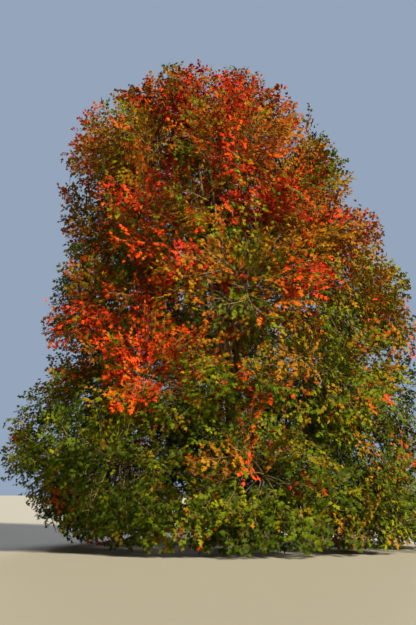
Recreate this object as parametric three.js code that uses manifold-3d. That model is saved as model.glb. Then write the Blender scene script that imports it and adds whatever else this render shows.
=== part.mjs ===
// A red maple in autumn leaf, as it stands on open ground: one trunk with a root flare, three more
// stems that rise beside it, boughs in three rings, and the masses of foliage that they carry.
// Millimetres, +Z up. The origin is the centre of the flat cut under the trunk, and the side that
// is seen in the picture faces -Y, with the crown's left at -X.
import * as THREE from "three";
import { mergeVertices } from "three/addons/utils/BufferGeometryUtils.js";
import Module from "manifold-3d";

const wasm = await Module();
wasm.setup();

// Driving sizes of the crown
const HEIGHT = 14850; // ground to the highest leaf
const DOME = 15150; // where the sides of the dome would meet
const LEAF_FOOT = 90; // the lowest leaf's height over the ground
const WAIST = 5500; // above this height the crown draws in to its dome
const LEFT = { reach: 5150, rise: 5, round: 2 }; // steep side
const RIGHT = { reach: 6050, rise: 1.15, round: 1.6 }; // sloping side
const SKIRT = { bulge: 1600, height: 2650, spread: 1600 }; // low boughs that reach out on the left
const TUCK = { depth: 900, height: 500 }; // the left skirt draws in just over the ground

// Driving sizes of the wood
const TRUNK_RADIUS = 285; // at the ground, without the flare
const TRUNK_TIP_RADIUS = 42;
const FLARE = { size: 150, height: 260, lobes: 5, lobeShare: 0.35 };
const TRUNK_TAPER = 1.5;
const STEM_TIP_RADIUS = 36;
const BOUGH_TIP_RADIUS = 34;
const COLLAR = { size: 0.35, length: 160 }; // a limb's swelling where it leaves its parent
const CLEAR = 0.42; // a limb's faces are set off by this, which leaves about 0.3 mm at a joint
const JOINT = 0.3; // gap between a bough's tip and the stem of its mass

// Driving sizes of the foliage
const MASS_STEM = { foot: 34, tip: 30, sides: 3, steps: 2 };
const TWIG = { foot: 15, tip: 13, sides: 3, steps: 1 };
const SPRAY = { length: 1350, halfWidth: 0.38, thick: 0.018, fold: 0.014, sunk: -4.6 };
const SPRAYS_PER_TWIG = 5;
const SPRAY_TRIES = 7;
const SPACE_MARGIN = 14; // each mass stays this far inside its own space
const TWIG_MARGIN = 330; // its twigs end this far from its neighbours' spaces
const TWIG_DEPTH = 640; // and this far under the crown's surface
const CELL_UPRIGHT = 1.25; // heights count this much more than widths where spaces are shared out
const SPACE_ROUND = 2.6; // the power of a space's rounded outline
const SPACE_OUTER = 1.25; // a ring's spaces are this much deeper on the crown's side
const GOLDEN_TURN = Math.PI * (3 - Math.sqrt(5));

// The rings of foliage from the ground up. "from" is where their limbs leave the trunk and the
// stems, "sway" lifts the left side of a ring and "droop" hangs its sprays. The three lowest rings
// have boughs, and the masses of the others spring from the trunk and the stems themselves.
const RINGS = [
  { name: "skirt", count: 7, turn: 26, height: 1800, half: 2300, sway: 700, droop: 0.25, from: 1750 },
  { name: "low", count: 6, turn: 2, height: 4150, half: 1900, sway: 0, droop: 0.3, from: 3050 },
  { name: "middle", count: 6, turn: 32, height: 6650, half: 1650, sway: 0, droop: 0, from: 4500 },
  { name: "upper", count: 6, turn: 4, height: 9150, half: 1650, sway: 0, droop: 0, from: 7000 },
  { name: "shoulder", count: 6, turn: 34, height: 11150, half: 1800, sway: 300, droop: 0, from: 9200 },
];
const BOUGHS = {
  skirt: { radius: 48, lift: 900 },
  low: { radius: 58, lift: 350 },
  middle: { radius: 54, lift: 150 },
};
const RING_DEPTH = 1500; // half the depth of a ring's masses, in from the crown's surface
const RING_WIDTH = 0.66; // half a mass's width, as a share of its arc of the ring
const TWIGS_PER_MASS = 5;
const TWIGS_AT_TOP = 6;
const FORKS = [0.35, 0.22, 0.1, 0]; // a twig leaves its stem this far back from where it ends
const STAGGER = 420; // neighbouring boughs leave the trunk this much apart in height

// The stems. Each runs through its points and ends in a mass of its own at the top of the crown.
const STEMS = [
  {
    name: "trunk",
    radius: TRUNK_RADIUS,
    path: [
      [0, 0, 0], [70, -15, 1500], [230, 0, 3700], [450, 0, 6200],
      [545, 40, 7700], [440, 40, 9400], [600, -60, 11000], [720, -130, 12000],
    ],
    top: { centre: [850, -250, 13350], half: [1300, 1300, 1550] },
  },
  {
    name: "stem_left",
    radius: 150,
    from: 2350,
    path: [
      [-260, -50, 4200], [-550, -80, 6300], [-690, -60, 7800],
      [-640, 0, 9900], [-1050, -180, 11200], [-1450, -300, 12150],
    ],
    top: { centre: [-1850, -250, 13450], half: [1400, 1350, 1600] },
  },
  {
    name: "stem_back",
    radius: 130,
    from: 2900,
    path: [[60, 620, 5200], [-100, 980, 7600], [-350, 1150, 9900], [-500, 1500, 11700]],
    top: { centre: [-550, 1900, 13000], half: [1700, 1500, 1500] },
  },
  {
    name: "stem_front",
    radius: 95,
    from: 3500,
    path: [[-40, -420, 5900], [-150, -640, 8100], [-350, -900, 10000], [-420, -1300, 11200]],
    top: { centre: [-400, -1950, 12300], half: [1500, 1400, 1500] },
  },
];

const COLOURS = {
  bark: 0x8c8069,
  green: 0x4f6f1c,
  olive: 0x83791f,
  orange: 0xb8591c,
  red: 0xa8301a,
};
const RING_COLOURS = {
  skirt: "green",
  low: "olive",
  middle: "orange",
  upper: "orange",
  shoulder: "red",
  top: "red",
};

const UP = new THREE.Vector3(0, 0, 1);
const mix = (a, b, share) => a + (b - a) * share;
const clamp = (value, low, high) => Math.min(Math.max(value, low), high);
const vector = ([x, y, z]) => new THREE.Vector3(x, y, z);
const bearingOf = (point) => Math.atan2(point.y, point.x);

// A stream of numbers from 0 to 1 that is the same on every run.
function seeded(...parts) {
  const factors = [73856093, 19349663, 83492791];
  let state = parts.reduce((sum, part, i) => (sum + Math.imul(part + 1, factors[i])) >>> 0, 0);
  return () => {
    state = (state + 0x6d2b79f5) >>> 0;
    let t = state;
    t = Math.imul(t ^ (t >>> 15), t | 1);
    t ^= t + Math.imul(t ^ (t >>> 7), t | 61);
    return ((t ^ (t >>> 14)) >>> 0) / 4294967296;
  };
}

// How far the crown reaches from the trunk's line at a height and a bearing.
function crownReach(height, bearing) {
  const right = (1 + Math.cos(bearing)) / 2;
  const rise = clamp((height - WAIST) / (DOME - WAIST), 0, 1) ** mix(LEFT.rise, RIGHT.rise, right);
  const dome = (1 - rise) ** (1 / mix(LEFT.round, RIGHT.round, right));
  const bulge = SKIRT.bulge * (1 - right) ** 2 * Math.exp(-(((height - SKIRT.height) / SKIRT.spread) ** 2));
  const tuck = TUCK.depth * (1 - right) * Math.exp(-height / TUCK.height);
  return mix(LEFT.reach, RIGHT.reach, right) * dome + bulge - tuck;
}

// The point of a rising curve at a height, as its share along the curve.
function shareAtHeight(curve, height) {
  let low = 0;
  let high = 1;
  for (let i = 0; i < 30; i++) {
    const middle = (low + high) / 2;
    if (curve.getPoint(middle).z < height) low = middle;
    else high = middle;
  }
  return low;
}

// A closed limb: a cylinder whose rings are laid along the curve and given the radius there.
function limbGeometry(curve, radiusAt, sides, steps) {
  const geometry = new THREE.CylinderGeometry(1, 1, 1, sides, steps);
  const chord = curve.getPoint(1).sub(curve.getPoint(0));
  const reference = Math.abs(chord.z) > Math.hypot(chord.x, chord.y) ? new THREE.Vector3(1, 0, 0) : UP;
  const position = geometry.attributes.position;
  for (let i = 0; i < position.count; i++) {
    const along = clamp(position.getY(i) + 0.5, 0, 1);
    const forward = curve.getTangent(along);
    const across = reference.clone().addScaledVector(forward, -reference.dot(forward)).normalize();
    const third = across.clone().cross(forward);
    const radius = radiusAt(along, Math.atan2(position.getZ(i), position.getX(i)));
    const point = curve
      .getPoint(along)
      .addScaledVector(across, position.getX(i) * radius)
      .addScaledVector(third, position.getZ(i) * radius);
    position.setXYZ(i, point.x, point.y, point.z);
  }
  return geometry;
}

// A point of a limb's own axis, which runs straight between its rings, and the way it heads there.
function onAxis(curve, steps, along) {
  const step = Math.min(Math.floor(along * steps), steps - 1);
  const [from, to] = [step, step + 1].map((ring) => curve.getPoint(ring / steps));
  return { point: from.clone().lerp(to, along * steps - step), heading: to.sub(from).normalize() };
}

// The solid of a closed geometry.
function solidOf(geometry) {
  geometry.deleteAttribute("normal");
  geometry.deleteAttribute("uv");
  const merged = mergeVertices(geometry, 0.01);
  const mesh = new wasm.Mesh({
    numProp: 3,
    vertProperties: new Float32Array(merged.attributes.position.array),
    triVerts: new Uint32Array(merged.index.array),
  });
  return new wasm.Manifold(mesh);
}

// The largest body of a solid, without loose scraps and sealed hollows.
function largestBody(solid) {
  return solid.decompose().reduce((best, body) => (body.volume() > best.volume() ? body : best));
}

// A named mesh of a solid, placed at its own foot.
function node(name, solid, foot, colour) {
  const made = solid.translate([-foot.x, -foot.y, -foot.z]).getMesh();
  const geometry = new THREE.BufferGeometry();
  geometry.setAttribute("position", new THREE.BufferAttribute(made.vertProperties, 3));
  geometry.setIndex(new THREE.BufferAttribute(made.triVerts, 1));
  geometry.computeVertexNormals();
  const look = { color: COLOURS[colour], roughness: 0.8, metalness: 0, flatShading: true };
  const material = new THREE.MeshStandardMaterial(look);
  const mesh = new THREE.Mesh(geometry, material);
  mesh.name = name;
  mesh.position.copy(foot);
  return mesh;
}

// A limb: its curve, its radius and its solid. "grown" makes the same solid with its faces set off.
function makeLimb(name, curve, radiusAt, sides, steps) {
  const grown = (offset) =>
    solidOf(limbGeometry(curve, (along, angle) => radiusAt(along, angle) + offset, sides, steps));
  return { name, curve, radiusAt, grown, solid: grown(0), sleeve: grown(CLEAR) };
}

// The trunk, with the lobes of its root flare.
function makeTrunk(spec) {
  const curve = new THREE.CatmullRomCurve3(spec.path.map(vector), false, "centripetal");
  const radiusAt = (along, angle) => {
    const height = Math.max(curve.getPoint(along).z, 0);
    const share = clamp(1 - height / spec.path.at(-1)[2], 0, 1) ** TRUNK_TAPER;
    const lobe = 1 + FLARE.lobeShare * Math.cos(FLARE.lobes * angle);
    return mix(TRUNK_TIP_RADIUS, spec.radius, share) + FLARE.size * lobe * Math.exp(-height / FLARE.height);
  };
  // Closely spaced rings at the foot carry the flare, so the curve's shares are bent towards it.
  const bent = new THREE.Curve();
  bent.getPoint = (share, target = new THREE.Vector3()) => curve.getPoint(share ** 1.6, target);
  bent.getTangent = (share) => (share < 1e-6 ? UP.clone() : curve.getTangent(share ** 1.6));
  return makeLimb(spec.name, bent, (share, angle) => radiusAt(share ** 1.6, angle), 15, 9);
}

// A limb that leaves its parent with a collar and tapers evenly to its tip.
function makeBranch(name, curve, foot, tip, sides, steps) {
  const length = curve.getLength();
  const radiusAt = (along) =>
    mix(foot, tip, along) + COLLAR.size * foot * Math.exp((-along * length) / COLLAR.length);
  return makeLimb(name, curve, radiusAt, sides, steps);
}

function makeStem(spec, trunk) {
  const foot = trunk.curve.getPoint(shareAtHeight(trunk.curve, spec.from));
  const curve = new THREE.CatmullRomCurve3([foot, ...spec.path.map(vector)], false, "centripetal");
  return makeBranch(spec.name, curve, spec.radius, STEM_TIP_RADIUS, 8, 6);
}

// The stem that stands nearest to a bearing at a height, well above its own foot.
function parentFor(leaders, height, bearing) {
  const outward = new THREE.Vector3(Math.cos(bearing), Math.sin(bearing), 0);
  const tall = leaders.filter((leader) => leader.curve.getPoint(0).z < height - 700);
  const standing = (leader) => leader.curve.getPoint(shareAtHeight(leader.curve, height)).dot(outward);
  return tall.reduce((best, leader) => (standing(leader) > standing(best) ? leader : best));
}

// The space of each mass, ring by ring, and those at the top of the crown.
function layOutMasses() {
  const masses = [];
  for (const ring of RINGS) {
    for (let i = 0; i < ring.count; i++) {
      const draw = seeded(masses.length, 7);
      const turn = ring.turn + ((i + (draw() - 0.5) * 0.24) * 360) / ring.count;
      const bearing = THREE.MathUtils.degToRad(turn);
      const height = ring.height - ring.sway * Math.cos(bearing) + (draw() - 0.5) * 500;
      const reach = crownReach(height, bearing) - RING_DEPTH + 250;
      const centre = new THREE.Vector3(Math.cos(bearing) * reach, Math.sin(bearing) * reach, height);
      const width = (RING_WIDTH * 2 * Math.PI * (reach + 600)) / ring.count;
      const half = new THREE.Vector3(RING_DEPTH, width, ring.half);
      masses.push({ ring, number: i + 1, name: `${ring.name}_${i + 1}`, bearing, centre, half });
    }
  }
  for (const stem of STEMS) {
    const centre = vector(stem.top.centre);
    const half = vector(stem.top.half);
    const name = `top_${stem.name.replace("stem_", "")}`;
    masses.push({ ring: { name: "top", droop: 0 }, leader: stem.name, name, bearing: 0, centre, half });
  }
  masses.forEach((mass, index) => (mass.index = index));
  return masses;
}

// Whether a point is in a mass's own space: its rounded outline, the crown's surface, the ground,
// and its side of the plane halfway to each other mass.
function inSpace(mass, masses, point, margin, depth = margin) {
  if (point.z < LEAF_FOOT + margin || point.z > HEIGHT - depth) return false;
  const local = point.clone().sub(mass.centre).applyAxisAngle(UP, -mass.bearing);
  const outer = mass.ring.count && local.x > 0 ? SPACE_OUTER : 1;
  const outline =
    Math.abs(local.x / (mass.half.x * outer)) ** SPACE_ROUND +
    Math.abs(local.y / mass.half.y) ** SPACE_ROUND +
    Math.abs(local.z / mass.half.z) ** SPACE_ROUND;
  if (outline > 1) return false;
  if (Math.hypot(point.x, point.y) > crownReach(point.z + depth, bearingOf(point)) - depth) return false;
  const away = (centre) =>
    (point.x - centre.x) ** 2 + (point.y - centre.y) ** 2 + ((point.z - centre.z) * CELL_UPRIGHT) ** 2;
  const own = away(mass.centre);
  return masses.every((other) => {
    if (other === mass) return true;
    const gap = Math.hypot(
      other.centre.x - mass.centre.x,
      other.centre.y - mass.centre.y,
      (other.centre.z - mass.centre.z) * CELL_UPRIGHT,
    );
    return (away(other.centre) - own) / (2 * gap) > margin * CELL_UPRIGHT;
  });
}

// The way out of the crown from a mass.
function outwardOf({ ring, bearing }) {
  return ring.count ? new THREE.Vector3(Math.cos(bearing), Math.sin(bearing), 0) : UP.clone();
}

// Where a mass's next twig ends. Of many points drawn in its space, the first twig takes the one
// furthest out, and each later one the point furthest from the ends that there are in the crown.
function nextEnd(mass, masses, ends, first, draw) {
  const out = outwardOf(mass);
  let best = null;
  let bestScore = -Infinity;
  for (let j = 0; j < 90; j++) {
    const depth = mix(-0.3, 1.1, draw());
    const local = new THREE.Vector3(depth, mix(-0.85, 0.85, draw()), mix(-0.85, 0.85, draw()));
    const point = local.multiply(mass.half).applyAxisAngle(UP, mass.bearing).add(mass.centre);
    if (!inSpace(mass, masses, point, TWIG_MARGIN, TWIG_DEPTH)) continue;
    const gap = Math.min(...ends.map((end) => end.distanceTo(point)));
    const score = first ? point.dot(out) : gap;
    if (score > bestScore) [best, bestScore] = [point, score];
  }
  return best;
}

// A spray of leaves as one blade with a ridge, from its sunk root to its tip.
function sprayPoints(root, direction, normal, length) {
  const side = direction.clone().cross(normal).normalize();
  const at = (along, across, up) =>
    root
      .clone()
      .addScaledVector(direction, along * length - SPRAY.sunk)
      .addScaledVector(side, across * length)
      .addScaledVector(normal, up * length);
  return {
    root: at(0, 0, 0),
    tip: at(1, 0, -SPRAY.fold / 2),
    ridge: at(0.5, 0, SPRAY.thick),
    right: at(0.64, SPRAY.halfWidth, -SPRAY.fold),
    left: at(0.64, -SPRAY.halfWidth, -SPRAY.fold),
  };
}

// The blade has four faces round its ridge and two below.
function spraySolid({ root, right, tip, left, ridge }) {
  const ring = [root, right, tip, left];
  const faces = ring.map((corner, i) => [corner, ring[(i + 1) % 4], ridge]);
  faces.push([root, left, right], [right, left, tip]);
  return solidOf(new THREE.BufferGeometry().setFromPoints(faces.flat()));
}

// The sprays along one twig: each turns round it by the golden angle, leans outwards, and is tried
// at a few more turns before it is left out. Apart from its root, a spray touches nothing.
function spraysOnTwig(mass, masses, twig, number, obstacles) {
  const sprays = [];
  const out = new THREE.Vector3(Math.cos(bearingOf(mass.centre)), Math.sin(bearingOf(mass.centre)), 0.35);
  for (let i = 0; i < SPRAYS_PER_TWIG; i++) {
    const draw = seeded(mass.index, number, i);
    const last = i === SPRAYS_PER_TWIG - 1;
    const leading = last && number === 0;
    const along = last ? 0.985 : mix(0.3, 0.985, (i + 0.6) / SPRAYS_PER_TWIG);
    const { point: root, heading: forward } = onAxis(twig, TWIG.steps, along);
    const longest = SPRAY.length * (last ? 1.28 : mix(0.92, 1.12, draw()));
    const start = draw() * 2 * Math.PI;
    const swing = leading ? 0.1 : last ? 0.35 : 1.1;
    const droop = leading ? 0 : mix(-0.25, 0.15, draw()) - mass.ring.droop;
    const facing = out.clone().applyAxisAngle(UP, mix(-1, 1, draw())).addScaledVector(UP, 0.25);
    const aside = out.clone().cross(forward).normalize();
    const behind = aside.clone().cross(forward).normalize();
    for (let attempt = 0; attempt < SPRAY_TRIES; attempt++) {
      const turn = start + (i + attempt) * GOLDEN_TURN;
      const direction = (leading ? outwardOf(mass).addScaledVector(forward, 0.2) : forward.clone())
        .addScaledVector(aside, Math.cos(turn) * swing)
        .addScaledVector(behind, Math.sin(turn) * swing)
        .addScaledVector(UP, droop)
        .normalize();
      const normal = facing.clone().addScaledVector(direction, -facing.dot(direction)).normalize();
      const points = sprayPoints(root, direction, normal, longest * (1 - 0.055 * attempt));
      const corners = Object.values(points);
      if (!corners.every((corner) => inSpace(mass, masses, corner, SPACE_MARGIN))) continue;
      const solid = spraySolid(points);
      if ([...obstacles, ...sprays].some((obstacle) => touches(obstacle, solid))) continue;
      sprays.push(boxed(solid));
      break;
    }
  }
  return sprays;
}

// A solid with the box that is asked first whether anything can touch it.
const boxed = (solid) => ({ solid, box: solid.boundingBox() });

// Whether a piece touches an obstacle.
function touches(obstacle, solid) {
  const a = obstacle.box;
  const b = solid.boundingBox();
  const apart = [0, 1, 2].some((i) => a.min[i] > b.max[i] || b.min[i] > a.max[i]);
  return !apart && !obstacle.solid.intersect(solid).isEmpty();
}

// The curve of a mass's own stem, from its bough's tip or its leader to the heart of its space.
function stemCurve(mass, start, direction) {
  const outward = outwardOf(mass);
  const heart = mass.centre.clone().addScaledVector(outward, mass.ring.count ? 250 : 0);
  const control = start.clone().addScaledVector(direction, heart.distanceTo(start) * 0.45);
  return new THREE.QuadraticBezierCurve3(start, control, heart);
}

// One mass of foliage: its stem, its twigs and their sprays, fused.
function growMass(mass, masses, obstacles, ends) {
  const taper = (spec) => (along) => mix(spec.foot, spec.tip, along);
  const steps = MASS_STEM.steps + (mass.direct ? 1 : 0);
  const stem = limbGeometry(mass.stem, taper(mass.stemSize), MASS_STEM.sides, steps);
  const pieces = [boxed(solidOf(stem))];
  const foot = mass.stem.getPoint(0);
  const chord = mass.stem.getPoint(1).sub(foot);
  const draw = seeded(mass.index, 11);
  const twigs = [];
  const wanted = mass.ring.count ? TWIGS_PER_MASS : TWIGS_AT_TOP;
  for (let i = 0; i < 2 * wanted && twigs.length < wanted; i++) {
    const end = nextEnd(mass, masses, ends, i === 0, draw);
    if (!end) continue;
    ends.push(end);
    const passed = end.clone().sub(foot).dot(chord) / chord.lengthSq();
    for (const back of FORKS) {
      const fork = clamp(passed - back, mass.direct ? 0.45 : 0.22, 0.97);
      const { point: start, heading } = onAxis(mass.stem, steps, fork);
      const length = end.distanceTo(start);
      const bend = heading.multiplyScalar(0.35).addScaledVector(UP, 0.06);
      const control = start.clone().addScaledVector(bend, length);
      const curve = new THREE.QuadraticBezierCurve3(start, control, end);
      const kept = (along) => inSpace(mass, masses, curve.getPoint(along), SPACE_MARGIN + TWIG.foot);
      const twig = boxed(solidOf(limbGeometry(curve, taper(TWIG), TWIG.sides, TWIG.steps)));
      if (![0.3, 0.5, 0.75].every(kept)) continue;
      if (obstacles.some((obstacle) => touches(obstacle, twig.solid))) continue;
      twigs.push({ ...twig, curve });
      pieces.push(twig);
      break;
    }
  }
  const sprays = [];
  twigs.forEach((twig, number) => {
    const near = [...obstacles, ...pieces.filter((piece) => piece.solid !== twig.solid), ...sprays];
    sprays.push(...spraysOnTwig(mass, masses, twig.curve, number, near));
  });
  return wasm.Manifold.union([...pieces, ...sprays].map((piece) => piece.solid)).simplify(0.1);
}

// Cuts a limb clear of every one that stands before it, and keeps its outer part.
function cutClear(solid, standing) {
  const cut = standing.reduce((rest, limb) => rest.subtract(limb.sleeve), solid);
  return largestBody(cut);
}

const tree = new THREE.Group();
const masses = layOutMasses();
const leaders = [makeTrunk(STEMS[0])];
for (const spec of STEMS.slice(1)) {
  const stem = makeStem(spec, leaders[0]);
  stem.solid = cutClear(stem.solid, leaders);
  leaders.push(stem);
}
const limbs = [...leaders];

for (const mass of masses) {
  const { ring, bearing } = mass;
  const outward = new THREE.Vector3(Math.cos(bearing), Math.sin(bearing), 0);
  if (mass.leader) {
    const leader = leaders.find((limb) => limb.name === mass.leader);
    const tip = leader.curve.getPoint(1).addScaledVector(leader.curve.getTangent(1), JOINT);
    mass.stem = stemCurve(mass, tip, leader.curve.getTangent(1));
    mass.stemSize = { foot: STEM_TIP_RADIUS, tip: MASS_STEM.tip };
    continue;
  }
  const height = ring.from + (mass.number % 2) * STAGGER;
  const parent = parentFor(leaders, height, bearing);
  const foot = parent.curve.getPoint(shareAtHeight(parent.curve, height));
  const spec = BOUGHS[ring.name];
  if (!spec) {
    const heart = mass.centre.clone().sub(foot);
    mass.stem = stemCurve(mass, foot, heart.normalize().addScaledVector(UP, 0.45).normalize());
    mass.stemSize = { foot: STEM_TIP_RADIUS, tip: MASS_STEM.tip };
    mass.direct = true;
    continue;
  }
  const tip = mass.centre.clone().addScaledVector(outward, -RING_DEPTH * 0.62);
  const control = foot.clone().lerp(tip, 0.42);
  control.z = Math.max(foot.z, tip.z - 500) + spec.lift;
  const curve = new THREE.QuadraticBezierCurve3(foot, control, tip);
  const bough = makeBranch(`bough_${mass.name}`, curve, spec.radius, BOUGH_TIP_RADIUS, 5, 4);
  bough.solid = cutClear(bough.solid, limbs);
  mass.stem = stemCurve(mass, tip.clone().addScaledVector(curve.getTangent(1), JOINT), curve.getTangent(1));
  mass.stemSize = MASS_STEM;
  limbs.push(bough);
}

for (const limb of limbs) {
  const foot = limb === leaders[0] ? new THREE.Vector3() : limb.curve.getPoint(0);
  tree.add(node(limb.name, limb.solid, foot, "bark"));
}

// Every limb, and the stem of every mass that springs from a leader, is kept clear by the foliage.
const obstacles = limbs.map((limb) => boxed(limb.sleeve));
for (const mass of masses.filter((each) => each.direct)) {
  const taper = (along) => mix(mass.stemSize.foot, mass.stemSize.tip, along) + 5;
  const solid = solidOf(limbGeometry(mass.stem, taper, MASS_STEM.sides, MASS_STEM.steps + 1));
  obstacles.push({ ...boxed(solid), mass });
}

const twigEnds = [];
for (const mass of masses) {
  const others = obstacles.filter((obstacle) => obstacle.mass !== mass);
  const grown = growMass(mass, masses, others, twigEnds);
  const standing = mass.direct ? leaders : [];
  const foot = mass.stem.getPoint(0);
  tree.add(node(`foliage_${mass.name}`, cutClear(grown, standing), foot, RING_COLOURS[mass.ring.name]));
}

export default tree;
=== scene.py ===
"""A red maple in autumn leaf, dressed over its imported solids: barked limbs, twigs and leaves.

Metres, +Z up. The origin is the middle of the flat cut under the trunk, the side that is seen in
the picture faces -Y, and the crown's left is at -X. The twigs and sprays grow by the same seeded
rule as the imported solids, and go on to shoots and single leaves.
"""

import math
from types import SimpleNamespace

import bpy
import numpy as np
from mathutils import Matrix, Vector, noise
from mathutils.bvhtree import BVHTree


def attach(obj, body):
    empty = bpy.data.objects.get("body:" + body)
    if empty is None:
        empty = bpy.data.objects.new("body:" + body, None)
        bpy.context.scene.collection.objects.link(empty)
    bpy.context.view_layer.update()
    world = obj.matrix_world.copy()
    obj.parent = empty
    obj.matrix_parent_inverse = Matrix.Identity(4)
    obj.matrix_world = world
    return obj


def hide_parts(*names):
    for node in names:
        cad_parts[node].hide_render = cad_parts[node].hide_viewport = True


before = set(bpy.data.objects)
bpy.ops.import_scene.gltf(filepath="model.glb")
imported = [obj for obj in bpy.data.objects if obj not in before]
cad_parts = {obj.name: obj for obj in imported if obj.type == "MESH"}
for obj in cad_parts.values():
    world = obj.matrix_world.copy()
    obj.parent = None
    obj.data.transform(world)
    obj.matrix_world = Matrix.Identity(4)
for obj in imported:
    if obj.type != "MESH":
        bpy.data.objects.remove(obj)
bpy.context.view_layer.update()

# Driving sizes of the crown
HEIGHT = 14.85
DOME = 15.15
LEAF_FOOT = 0.09
WAIST = 5.5
LEFT = {"reach": 5.15, "rise": 5, "round": 2}
RIGHT = {"reach": 6.05, "rise": 1.15, "round": 1.6}
SKIRT = {"bulge": 1.6, "height": 2.65, "spread": 1.6}
TUCK = {"depth": 0.9, "height": 0.5}

# Driving sizes of the wood
TRUNK_RADIUS = 0.285
TRUNK_TIP_RADIUS = 0.042
FLARE = {"size": 0.15, "height": 0.26, "lobes": 5, "lobe_share": 0.35}
TRUNK_TAPER = 1.5
TRUNK_BEND = 1.6
STEM_TIP_RADIUS = 0.036
BOUGH_TIP_RADIUS = 0.034
COLLAR = {"size": 0.35, "length": 0.16}
JOINT = 0.0003
STAGGER = 0.42

FLARE_TOP = 1.5
RELIEF = {"most": 0.012, "share": 0.055, "ridge": 0.9, "plate": 0.5, "swell": 1.2, "sunk": 0.5}
RELIEF_PLACE = 0.3  # the relief's depth follows the limb's radius at this share of its length
# How often the bark's relief comes again in a metre: across the limb, and up it
RIDGES = (11, 1.7)
PLATES = (26, 7)
SWELLING = 1.3
FOOT_BAND = 0.004  # the bark this near the ground is cut flat

# Driving sizes of the masses, their twigs and their sprays
MASS_STEM_STEPS = 2
TWIG_RADIUS = 0.015
TWIG_BOW = {"along": 0.35, "up": 0.06}
TWIG_SPOTS = (0.3, 0.5, 0.75)
MASS_STEM_RADIUS = 0.032
DIRECT_STEM_RADII = (0.041, 0.035)
SPRAY = {
    "length": 1.35, "half_width": 0.38, "thick": 0.018, "fold": 0.014, "sunk": -0.0046,
    "ridge": 0.5, "widest": 0.64, "middle": 0.62,
}
SPRAY_PLACES = (0.3, 0.985)
SPRAY_SIZES = (0.92, 1.12)
LAST_SPRAY = 1.28
SPRAY_DROOP = (-0.25, 0.15)
SPRAY_SWING = {"leading": 0.1, "last": 0.35, "side": 1.1}
SPRAY_SHRINK = {"packed": 0.055, "between": 0.035}  # at each try
SPRAY_STEP = {"packed": 0.6, "between": 0.1}
SPRAY_FACING = {"rise": 0.35, "up": 0.25, "turn": 1}
SPRAY_LEAD = 0.2
SPRAYS_PER_TWIG = 5
SPRAY_TRIES = 7
SPACE_MARGIN = 0.014
TWIG_MARGIN = 0.33
TWIG_DEPTH = 0.64
CELL_UPRIGHT = 1.25
SPACE_ROUND = 2.6
SPACE_OUTER = 1.25
RING_DEPTH = 1.5
RING_WIDTH = 0.66
TWIGS_PER_MASS = 5
TWIGS_AT_TOP = 6
FORKS = (0.35, 0.22, 0.1, 0)
FORK_RANGE = {"direct": 0.45, "borne": 0.22, "last": 0.97}
ENDS_TRIED = 90
END_INNER = {"packed": -0.3, "fine": -0.8}
END_OUTER = 1.1
END_SIDE = 0.85
GOLDEN_TURN = math.pi * (3 - math.sqrt(5))

RING_FIELDS = ("name", "count", "turn", "height", "half", "sway", "droop", "from")
RINGS = [
    dict(zip(RING_FIELDS, ring))
    for ring in (
        ("skirt", 7, 26, 1.8, 2.3, 0.7, 0.25, 1.75),
        ("low", 6, 2, 4.15, 1.9, 0, 0.3, 3.05),
        ("middle", 6, 32, 6.65, 1.65, 0, 0, 4.5),
        ("upper", 6, 4, 9.15, 1.65, 0, 0, 7.0),
        ("shoulder", 6, 34, 11.15, 1.8, 0.3, 0, 9.2),
    )
]
RING_JITTER = {"turn": 0.24, "height": 0.5}
RING_PROUD = 0.25
RING_SPAN = 0.6
HEART_OUT = 0.25  # a mass's stem runs on past the middle of its space
STEM_BOW = 0.45
DIRECT_RISE = 0.45
PARENT_BELOW = 0.7
BOUGH_WAY = {"inset": 0.62, "middle": 0.42, "drop": 0.5}
SEEDS = {"rings": 7, "twigs": 11, "finer": 13, "inner": 17}
BOUGHS = {
    "skirt": {"radius": 0.048, "lift": 0.9},
    "low": {"radius": 0.058, "lift": 0.35},
    "middle": {"radius": 0.054, "lift": 0.15},
}
STEMS = (
    {
        "name": "trunk",
        "radius": TRUNK_RADIUS,
        "path": (
            (0, 0, 0), (0.07, -0.015, 1.5), (0.23, 0, 3.7), (0.45, 0, 6.2),
            (0.545, 0.04, 7.7), (0.44, 0.04, 9.4), (0.6, -0.06, 11), (0.72, -0.13, 12),
        ),
        "top": {"centre": (0.85, -0.25, 13.35), "half": (1.3, 1.3, 1.55)},
    },
    {
        "name": "stem_left",
        "radius": 0.15,
        "from": 2.35,
        "path": (
            (-0.26, -0.05, 4.2), (-0.55, -0.08, 6.3), (-0.69, -0.06, 7.8),
            (-0.64, 0, 9.9), (-1.05, -0.18, 11.2), (-1.45, -0.3, 12.15),
        ),
        "top": {"centre": (-1.85, -0.25, 13.45), "half": (1.4, 1.35, 1.6)},
    },
    {
        "name": "stem_back",
        "radius": 0.13,
        "from": 2.9,
        "path": ((0.06, 0.62, 5.2), (-0.1, 0.98, 7.6), (-0.35, 1.15, 9.9), (-0.5, 1.5, 11.7)),
        "top": {"centre": (-0.55, 1.9, 13), "half": (1.7, 1.5, 1.5)},
    },
    {
        "name": "stem_front",
        "radius": 0.095,
        "from": 3.5,
        "path": ((-0.04, -0.42, 5.9), (-0.15, -0.64, 8.1), (-0.35, -0.9, 10), (-0.42, -1.3, 11.2)),
        "top": {"centre": (-0.4, -1.95, 12.3), "half": (1.5, 1.4, 1.5)},
    },
)

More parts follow.
